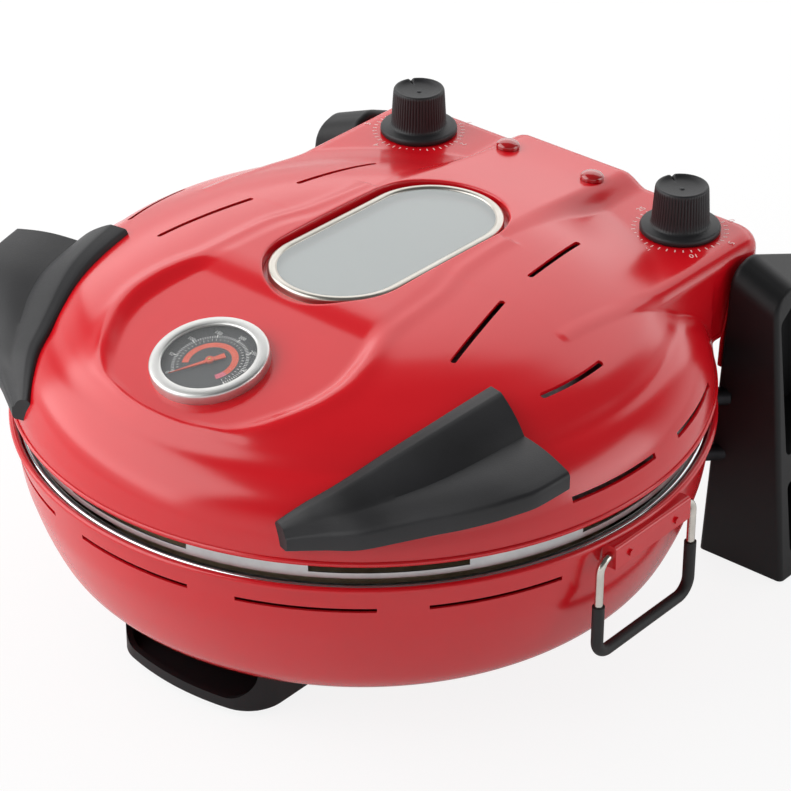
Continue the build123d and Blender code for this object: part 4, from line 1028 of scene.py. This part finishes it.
@dataclass
class WingHandle:
    """Moulded side handle that sweeps from the lid's front round to its flank."""

    side: Side
    heading: float = -17.0
    rings: int = 90
    corner: float = 2.4
    floor_corner: float = 1.4
    corner_share: float = 0.12
    root: float = 3.0
    flange_crown: float = 1.4
    full_width: float = 60.0
    # From the flank to the front: the ridge in the lid's axes, then distance and height from the ridge of the
    # flat strip, of the valley and of the outer edge, then the depth at the edge.
    knots: tuple[tuple[float, ...], ...] = (
        (124.5, -48.7, 61.0, 8.6, 0.8, 29.2, -13.3, 67.5, -14.0, 9.5),
        (122.3, -66.6, 58.9, 8.0, 0.6, 28.4, -12.8, 66.6, -13.8, 9.6),
        (119.4, -83.0, 55.9, 7.4, 0.4, 27.4, -12.0, 61.5, -13.2, 10.0),
        (115.0, -98.4, 51.5, 6.8, 0.2, 25.6, -11.2, 53.0, -13.2, 10.4),
        (110.0, -112.0, 46.4, 6.2, 0.1, 22.8, -9.8, 43.5, -12.8, 10.6),
        (105.0, -125.6, 41.0, 5.6, 0.0, 19.0, -8.0, 34.5, -12.4, 10.4),
        (100.0, -139.0, 36.0, 5.0, -0.1, 15.0, -6.0, 26.5, -11.5, 10.0),
        (93.0, -150.0, 30.0, 4.2, -0.2, 10.5, -4.0, 17.5, -9.5, 8.6),
        (85.0, -161.0, 21.6, 3.0, -0.2, 6.0, -1.6, 9.5, -5.6, 7.0),
    )

    def build(self) -> Piece:
        """Builds the handle as one closed loft."""
        spots = np.arange(len(self.knots))
        wanted = np.linspace(0, spots[-1], self.rings)
        smooth = np.column_stack([monotone(spots, np.array(values), wanted) for values in zip(*self.knots)])
        turn = math.radians(self.heading)
        rows = []
        for ridge, strip, valley, edge, depth in (np.split(values, [3, 5, 7, 9]) for values in smooth):
            section = self.section(strip, valley, edge, depth[0])
            plan = ridge[:2] + section[:, :1] * [math.cos(turn), math.sin(turn)]
            rows.append(np.column_stack([plan, ridge[2] + section[:, 1]]))
        count = len(rows[0])
        last, word = (self.rings - 1) * count, self.side.word
        faces = [*grid_faces(self.rings, count), range(count), range(last, last + count)]
        handle = new_piece(f"{word}_wing", np.vstack(rows) * [self.side.value, 1, 1], faces, 38.0)
        return dress(handle, GRAINED_NYLON, f"wing_handle_{word}")

    def section(self, strip: Array, valley: Array, edge: Array, depth: float) -> Array:
        """Closed section of the handle.

        Args:
            strip: outer edge of the flat strip, from the ridge.
            valley: bottom of the hollow, from the ridge.
            edge: outer edge, from the ridge.
            depth: thickness at the outer edge.

        Returns:
            Distance and height from the ridge, point by point.
        """
        bend = min(self.corner, edge[0] * self.corner_share)
        shoulder = edge + [-bend, 0.2]
        t = np.linspace(0, 1, 9)
        fall = strip + (valley - strip) * np.column_stack([t, t**1.25 * (1 - 0.12 * np.sin(t * 3.14))])
        t = np.linspace(0, 1, 10)[1:]
        flange = valley + (shoulder - valley) * t[:, None]
        flange[:, 1] += self.flange_crown * np.sin(t * math.pi) * min(1.0, edge[0] / self.full_width)
        corner = arc_points(shoulder - [0, bend], bend, 60, 0, 3)
        floor, turn = edge[1] - depth, self.floor_corner
        lower = arc_points((edge[0] - turn, floor + turn), turn, 0, -90, 3)
        root = self.root
        inner = [[root, floor], [-root, floor], [-root, min(-6.0, strip[1] - 5)]]
        crest = [[-0.9, -1.0], [-0.25, -0.25], [0.6, 0.05]]
        return np.vstack([crest, [strip * 0.5], [strip * 0.86], fall, flange, corner, lower, inner])


# ---- fittings of the lid
@dataclass
class Control:
    """Fluted knob with a wide skirt, a dished top and a pointer notch, and the scale printed round it."""

    name: str
    x: float
    words: tuple[str, ...]
    word_step: float
    tick_step: float
    y: float = 152.6
    base: float = 54.5
    pointer: float = 150.0
    first: float = 60.0
    ribs: int = 56
    rib_depth: float = 0.52
    ribs_begin: Pair = (5.0, 6.6)
    ribs_end: Pair = (24.6, 26.2)
    ribs_inner: float = 13.0
    notch_depth: float = 1.3
    notch_turn: float = 0.075
    notch_reach: Pair = (9.5, 15.0)
    notch_lift: float = 23.0
    tick_radius: float = 25.0
    word_radius: float = 30.0
    samples: int = 6
    profile: Curve = (
        (21.2, 0.3), (21.7, 0.8), (21.7, 2.6), (21.3, 3.5), (20.4, 4.0), (17.2, 4.2), (16.3, 4.5),
        (15.75, 5.2), (15.6, 6.2), (15.4, 10.0), (15.1, 15.0), (14.8, 20.0), (14.5, 24.4), (14.3, 25.6),
        (13.9, 26.3), (13.3, 26.6), (12.6, 26.5), (12.0, 26.0), (11.2, 25.3), (9.0, 24.7), (6.0, 24.3),
        (3.0, 24.15), (1.5, 24.15), (1.3, 24.4), (0.9, 24.6), (0.4, 24.7),
    )

    def knob(self) -> Piece:
        """Builds the knob as one closed lathe with ribs."""
        count = self.ribs * self.samples
        turn = np.linspace(0, 2 * math.pi, count, endpoint=False)
        wave = np.abs(np.cos(turn * self.ribs / 2)) ** 0.7
        away = np.angle(np.exp(1j * (turn - math.radians(self.pointer))))
        notch = self.notch_depth * np.exp(-((away / self.notch_turn) ** 2))
        inner, outer = self.notch_reach
        rows = []
        for radius, lift in self.profile:
            fluted = smoothstep(*self.ribs_begin, lift) * (1 - smoothstep(*self.ribs_end, lift))
            fluted *= radius > self.ribs_inner
            reach = radius - self.rib_depth * fluted * (1 - wave)
            dip = notch * (inner < radius < outer) * (lift > self.notch_lift)
            rows.append(np.column_stack([reach * np.cos(turn), reach * np.sin(turn), lift - dip]))
        size = len(rows) * count
        points = np.vstack([*rows, *([(0, 0, self.profile[end][1])] for end in (0, -1))])
        faces = [*grid_faces(len(rows), count)]
        for centre, ring in ((size, 0), (size + 1, size - count)):
            faces += [(centre, ring + i, ring + (i + 1) % count) for i in range(count)]
        knob = new_piece(f"{self.name}_dial_knob", points + [self.x, self.y, self.base], faces, 50.0)
        return dress(knob, GRAINED_NYLON, f"{self.name}_knob")

    def scale(self) -> list[Piece]:
        """Prints pale ticks and numbers on the shoulder."""
        centre = LID_FRAME @ Matrix.Translation((self.x, self.y, self.base + 0.05))
        ticks = BarRing(31, self.tick_radius, self.first, self.tick_step, 2.4, 0.7, 0.1)
        numbers = Lettering(self.words, self.word_radius, self.first, self.word_step, 5.2, 0.1, inward=True)
        return [
            ticks.build(f"{self.name}_scale_ticks", SCALE_PRINT, centre),
            numbers.build(f"{self.name}_scale_numbers", SCALE_PRINT, centre),
        ]


@dataclass
class Thermometer:
    """Bright rim of the dial thermometer on the leaning facet, and the print on its dial."""

    form: LidForm = FORM
    radius: float = 30.5
    rim: float = 6.3
    height: float = 6.0
    dial_lift: float = 1.8
    first: float = 232.0
    step: float = -37.0
    band: Pair = (11.0, 14.4)
    words: tuple[str, ...] = ("0", "50", "100", "150", "200", "250", "300", "350")

    def plane(self, lift: float = 0.0) -> Matrix:
        """Plane at a height above the facet."""
        facet = tilted_place(self.form.facet_y, self.form.facet_lift, -self.form.facet_lean)
        return facet @ Matrix.Translation((0, 0, lift))

    def case(self) -> Piece:
        """Builds the rim."""
        r, inner, h = self.radius, self.radius - self.rim, self.height
        profile = [
            (r, 0.0), (r, h - 1.6), (r - 0.15, h - 0.9), (r - 0.6, h - 0.3), (r - 1.3, h), (inner + 1.0, h),
            (inner + 0.4, h - 0.2), (inner + 0.05, h - 0.7), (inner, h - 1.4), (inner - 0.02, h - 0.65),
            (inner + 0.1, h - 0.7), (r - 1.5, h - 0.7), (r - 1.5, 1.0),
        ]
        case = new_piece("thermometer_ring", *lathe(profile, 128), 40.0, self.plane())
        return dress(case, SATIN_STAINLESS, "thermometer_case")

    def marks(self) -> list[Piece]:
        """Prints the ticks, the numbers and the heat bands."""
        above = self.plane(self.dial_lift + 0.05)
        rings = {
            "dial_ticks": BarRing(71, 18.9, self.first, self.step / 10, 1.7, 0.3, 0.06),
            "dial_inner_ticks": BarRing(36, 16.5, self.first, self.step / 5, 1.2, 0.3, 0.06),
            "dial_major_ticks": BarRing(8, 19.2, self.first, self.step, 2.4, 0.6, 0.08),
            "dial_numbers": Lettering(self.words, 21.9, self.first, self.step, 3.0, 0.06),
        }
        marks = [ring.build(name, WHITE_PRINT, above) for name, ring in rings.items()]
        low, high = self.dial_lift + 0.02, self.dial_lift + 0.08
        bands = ("heat", 213.0, -12.0, ORANGE_PAINT), ("hot", -12.5, -36.0, PINK_PAINT)
        for name, start, end, paint in bands:
            arc = sector(*self.band, start, end, 60)
            marks.append(dress(upright_bars(f"dial_{name}_band", [(arc, low, high)], self.plane()), paint))
        return marks


@dataclass
class Lamps:
    """Two red lamp lenses, low domes on the rear hump."""

    x: float = 29.3
    y: float = 155.8
    radius: float = 6.6
    height: float = 4.6
    foot: float = 1.2
    segments: int = 48
    hump_front: Pair = (94.5, 69.3)
    hump_rear: Pair = (180.0, 60.5)

    def build(self) -> list[Piece]:
        """Builds both lenses."""
        slope = (self.hump_rear[1] - self.hump_front[1]) / (self.hump_rear[0] - self.hump_front[0])
        lift = self.hump_front[1] + slope * (self.y - self.hump_front[0])
        plane = tilted_place(self.y, lift, -math.degrees(math.atan(slope)))
        dome = arc_points((0, 0), 1.0, 0, 84, 12) * [self.radius, self.height - self.foot] + [0, self.foot]
        ring, quads = lathe([(self.radius, 0.0), *dome], self.segments, closed=False)
        faces = [*quads, range(self.segments), range(len(ring) - self.segments, len(ring))]
        pieces = []
        for side in Side:
            centre = plane @ Matrix.Translation((side.value * self.x, 0, 0))
            lens = new_piece(f"{side.word}_lamp_lens", ring, faces, 60.0, centre)
            pieces.append(dress(lens, LAMP_LENS, f"lamp_{side.word}"))
        return pieces


# ---- base
@dataclass
class Bowl:
    """Pressed red base bowl with a rolled rim and a row of vents."""

    radius: float = 187.0
    top: float = -12.0
    depth: float = 85.0
    wall: float = 1.5
    roll: float = 2.0
    floor_radius: float = 132.0
    vents: int = 12
    vent_degrees: float = 22.0
    vent_turn: float = 2.0
    vent_reach: Pair = (170.0, 195.0)
    vent_span: Pair = (-27.55, -25.05)
    columns: int = 288

    def build(self) -> Piece:
        """Builds the bowl and cuts its vents."""
        floor = self.top - self.depth
        roll = arc_points((self.radius - self.roll, self.top - self.roll), self.roll, -20, 170, 14)
        inside = self.flank(self.wall)[::-1]
        profile = np.vstack([[(0.001, floor)], self.flank(0.0), roll, inside, [(0.001, floor + self.wall)]])
        bowl = new_piece("red_bowl", *lathe(profile, self.columns))
        starts = self.vent_turn - 90 - self.vent_degrees / 2 + np.arange(self.vents) * 360 / self.vents
        ends = starts + self.vent_degrees
        cut(bowl, [(sector(*self.vent_reach, *turn, 14), *self.vent_span) for turn in zip(starts, ends)])
        return dress(bowl, RED_ENAMEL, "base_shell")

    def flank(self, inset: float) -> Array:
        """Side of the bowl from the floor to just under the roll.

        Args:
            inset: how far it is drawn in, for the inside.

        Returns:
            Radius and height of each point.
        """
        floor, side, top = self.top - self.depth + inset, self.radius - inset, self.top
        knots = np.array([
            (self.floor_radius - 4, floor), (self.floor_radius + 12, floor + 0.8), (side - 33, floor + 4.2),
            (side - 21, top - 70), (side - 14.5, top - 57), (side - 9.5, top - 43), (side - 5.4, top - 28),
            (side - 3.4, top - 13), (side - 2.2, top - 2.6),
        ])
        run = path_run(knots)
        wanted = np.linspace(0, run[-1], 44)
        return np.column_stack([monotone(run, column, wanted) for column in knots.T])


@dataclass
class Pan:
    """Chromed baking pan with its rolled bead and stepped flange."""

    bead_radius: float = 180.1
    bead_lift: float = -15.4
    bead_size: float = 2.5
    wall: float = 0.8
    floor_radius: float = 168.0
    depth: float = 50.0
    corner: float = 16.0
    flange_radius: float = 182.7
    flange_step: float = 181.4
    columns: int = 256

    def build(self) -> Piece:
        """Builds the pan as one closed lathe."""
        rim, floor = self.bead_radius - self.bead_size, self.bead_lift - self.depth
        flange = self.bead_lift - self.bead_size - 0.8
        bead = arc_points((self.bead_radius, self.bead_lift), self.bead_size, -60, 200, 22)
        centre = (self.floor_radius - self.corner, floor + self.corner)
        profile = [
            (0.001, floor), *arc_points(centre, self.corner, -90, -12, 10), (rim - 0.2, flange - 0.8),
            (self.flange_radius, flange - 0.8), (self.flange_radius, flange), (self.flange_step, flange),
            *bead, (rim - self.wall, self.bead_lift - 3),
            *arc_points(centre, self.corner - self.wall, -12, -90, 10), (0.001, floor + self.wall),
        ]
        return dress(new_piece("chromed_pan", *lathe(profile, self.columns)), CHROMIUM, "base_pan")


# ---- studio
@dataclass
class Studio:
    """Pale floor, soft lights, white surroundings and the camera."""

    camera_place: Point = (947.1, -1085.0, 849.1)
    camera_aim: Point = (29.24, -8.37, 0.0)
    roll: float = 0.143
    lens: float = 144.33
    # Place in metres, width and height in metres, and watts of each lamp.
    softboxes: tuple[tuple[str, Point, Pair, float], ...] = (
        ("left_softbox", (-1.35, -1.26, 1.29), (2.9, 2.0), 47.0),
        ("back_softbox", (-0.92, 1.47, 1.36), (3.7, 1.7), 27.0),
        ("right_softbox", (1.81, 1.05, 0.72), (1.4, 1.1), 9.0),
    )
    lamp_aim: Point = (0.0, 0.0, 0.1)
    soft_light: float = 0.36
    overhead: float = 0.1
    horizon: Pair = (0.08, 0.5)
    floor_half_size: float = 6.0
    floor_drop: float = 0.0005
    floor_grey: float = 0.86
    floor_glow: float = 1.02
    floor_share: float = 0.85
    floor_mirrored: float = 0.3

    @staticmethod
    def aimed(spot: Vector, aim: Vector) -> Matrix:
        """Place at a spot, facing a point."""
        return Matrix.Translation(spot) @ (aim - spot).to_track_quat("-Z", "Y").to_matrix().to_4x4()

    def camera(self) -> None:
        """Sets the camera up."""
        data = bpy.data.cameras.new("camera")
        data.sensor_width = 36.0
        data.lens = self.lens
        data.clip_end = 50.0
        camera = linked("camera", data)
        facing = self.aimed(LID_FRAME @ Vector(self.camera_place), LID_FRAME @ Vector(self.camera_aim))
        camera.matrix_world = facing @ Matrix.Rotation(math.radians(self.roll), 4, "Z")
        bpy.context.scene.camera = camera

    def lights(self) -> None:
        """Places the lamps."""
        for name, spot, size, power in self.softboxes:
            data = bpy.data.lights.new(name, "AREA")
            data.shape = "RECTANGLE"
            data.size, data.size_y = size
            data.energy = power
            linked(name, data).matrix_world = self.aimed(Vector(spot), Vector(self.lamp_aim))

    def surroundings(self) -> None:
        """White for camera, glossy and transmission rays, darker overhead; the light itself is softer."""
        world = bpy.context.scene.world = bpy.data.worlds.new("studio")
        tree = fresh_tree(world)
        rays = add_node(tree, "ShaderNodeLightPath").outputs
        direct = {0: rays["Is Camera Ray"], 1: rays["Is Transmission Ray"]}
        seen = {0: add_node(tree, "ShaderNodeMath", direct, operation="MAXIMUM"), 1: rays["Is Glossy Ray"]}
        towards = add_node(tree, "ShaderNodeTexCoord").outputs["Generated"]
        up = add_node(tree, "ShaderNodeSeparateXYZ", {"Vector": towards}).outputs["Z"]
        low, high = self.horizon
        fade = {"Value": up, "From Min": low, "From Max": high, "To Min": 1.0, "To Max": self.overhead}
        backdrop = add_node(tree, "ShaderNodeMapRange", fade, interpolation_type="SMOOTHSTEP")
        soft, white = (
            add_node(tree, "ShaderNodeBackground", {"Color": (1, 1, 1, 1), "Strength": strength})
            for strength in (self.soft_light, backdrop)
        )
        share = add_node(tree, "ShaderNodeMath", seen, operation="MAXIMUM")
        mix = add_node(tree, "ShaderNodeMixShader", {0: share, 1: soft, 2: white})
        add_node(tree, "ShaderNodeOutputWorld", {"Surface": mix})

    def floor(self) -> None:
        """Adds the pale floor, white to the camera away from the object's shadow."""
        mesh = bpy.data.meshes.new("studio_floor")
        corners = [(-1, -1, 0), (1, -1, 0), (1, 1, 0), (-1, 1, 0)]
        mesh.from_pydata(corners, [], [(0, 1, 2, 3)])
        mesh.transform(Matrix.Translation((0, 0, -self.floor_drop)) @ Matrix.Scale(self.floor_half_size, 4))
        material = bpy.data.materials.new("pale_floor")
        tree = fresh_tree(material)
        paint = add_node(tree, "ShaderNodeBsdfDiffuse", {"Color": (*[self.floor_grey] * 3, 1)})
        glow = add_node(tree, "ShaderNodeEmission", {"Color": (1, 1, 1, 1), "Strength": self.floor_glow})
        rays = add_node(tree, "ShaderNodeLightPath").outputs
        glossy = {0: rays["Is Glossy Ray"], 1: self.floor_mirrored}
        mirrored = add_node(tree, "ShaderNodeMath", glossy, operation="MULTIPLY")
        direct = {0: rays["Is Camera Ray"], 1: mirrored}
        seen = add_node(tree, "ShaderNodeMath", direct, operation="MAXIMUM")
        share = add_node(tree, "ShaderNodeMath", {0: seen, 1: self.floor_share}, operation="MULTIPLY")
        mix = add_node(tree, "ShaderNodeMixShader", {0: share, 1: paint, 2: glow})
        add_node(tree, "ShaderNodeOutputMaterial", {"Surface": mix})
        floor = linked("studio_floor", mesh)
        mesh.materials.append(material)

    def build(self) -> None:
        """Sets the whole studio up."""
        self.camera()
        self.lights()
        self.surroundings()
        self.floor()
        bpy.context.scene.view_settings.view_transform = "Standard"


def settle(pieces: Iterable[Piece], body: str) -> None:
    """Fixes pieces to a body.

    Args:
        pieces: the pieces.
        body: the body that they move with.
    """
    for piece in pieces:
        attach(piece, body)
        log.info("piece %s rides on %s", piece.name, body)


def main() -> None:
    """Builds every piece, dresses the kept nodes and sets the studio up."""
    logging.basicConfig(level=logging.INFO, format="%(name)s: %(message)s")
    settle([LidShell().build()], "lid")
    settle([Window().build()], "lid")
    settle([WingHandle(side).build() for side in Side], "lid")
    settle([Bowl().build()], "base")
    settle([Pan().build()], "base")
    settle([Thermometer().case()], "lid")
    settle(Thermometer().marks(), "lid")
    settle(Lamps().build(), "lid")
    heats, minutes = ("1", "2", "3", "4", "5", "6"), ("0", "5", "10", "15", "20", "25", "30")
    controls = Control("thermostat", -91.2, heats, -54.0, -9.0), Control("timer", 91.2, minutes, -50.0, -10.0)
    for control in controls:
        settle([control.knob()], f"{control.name}_control")
    for control in controls:
        settle(control.scale(), "lid")
    for finish, nodes in NODE_FINISHES.items():
        for node in nodes:
            dress(bpy.data.objects[node], finish)
            log.info("node %s is finished in %s", node, finish.name)
    Studio().build()


if __name__ == "__main__":
    main()
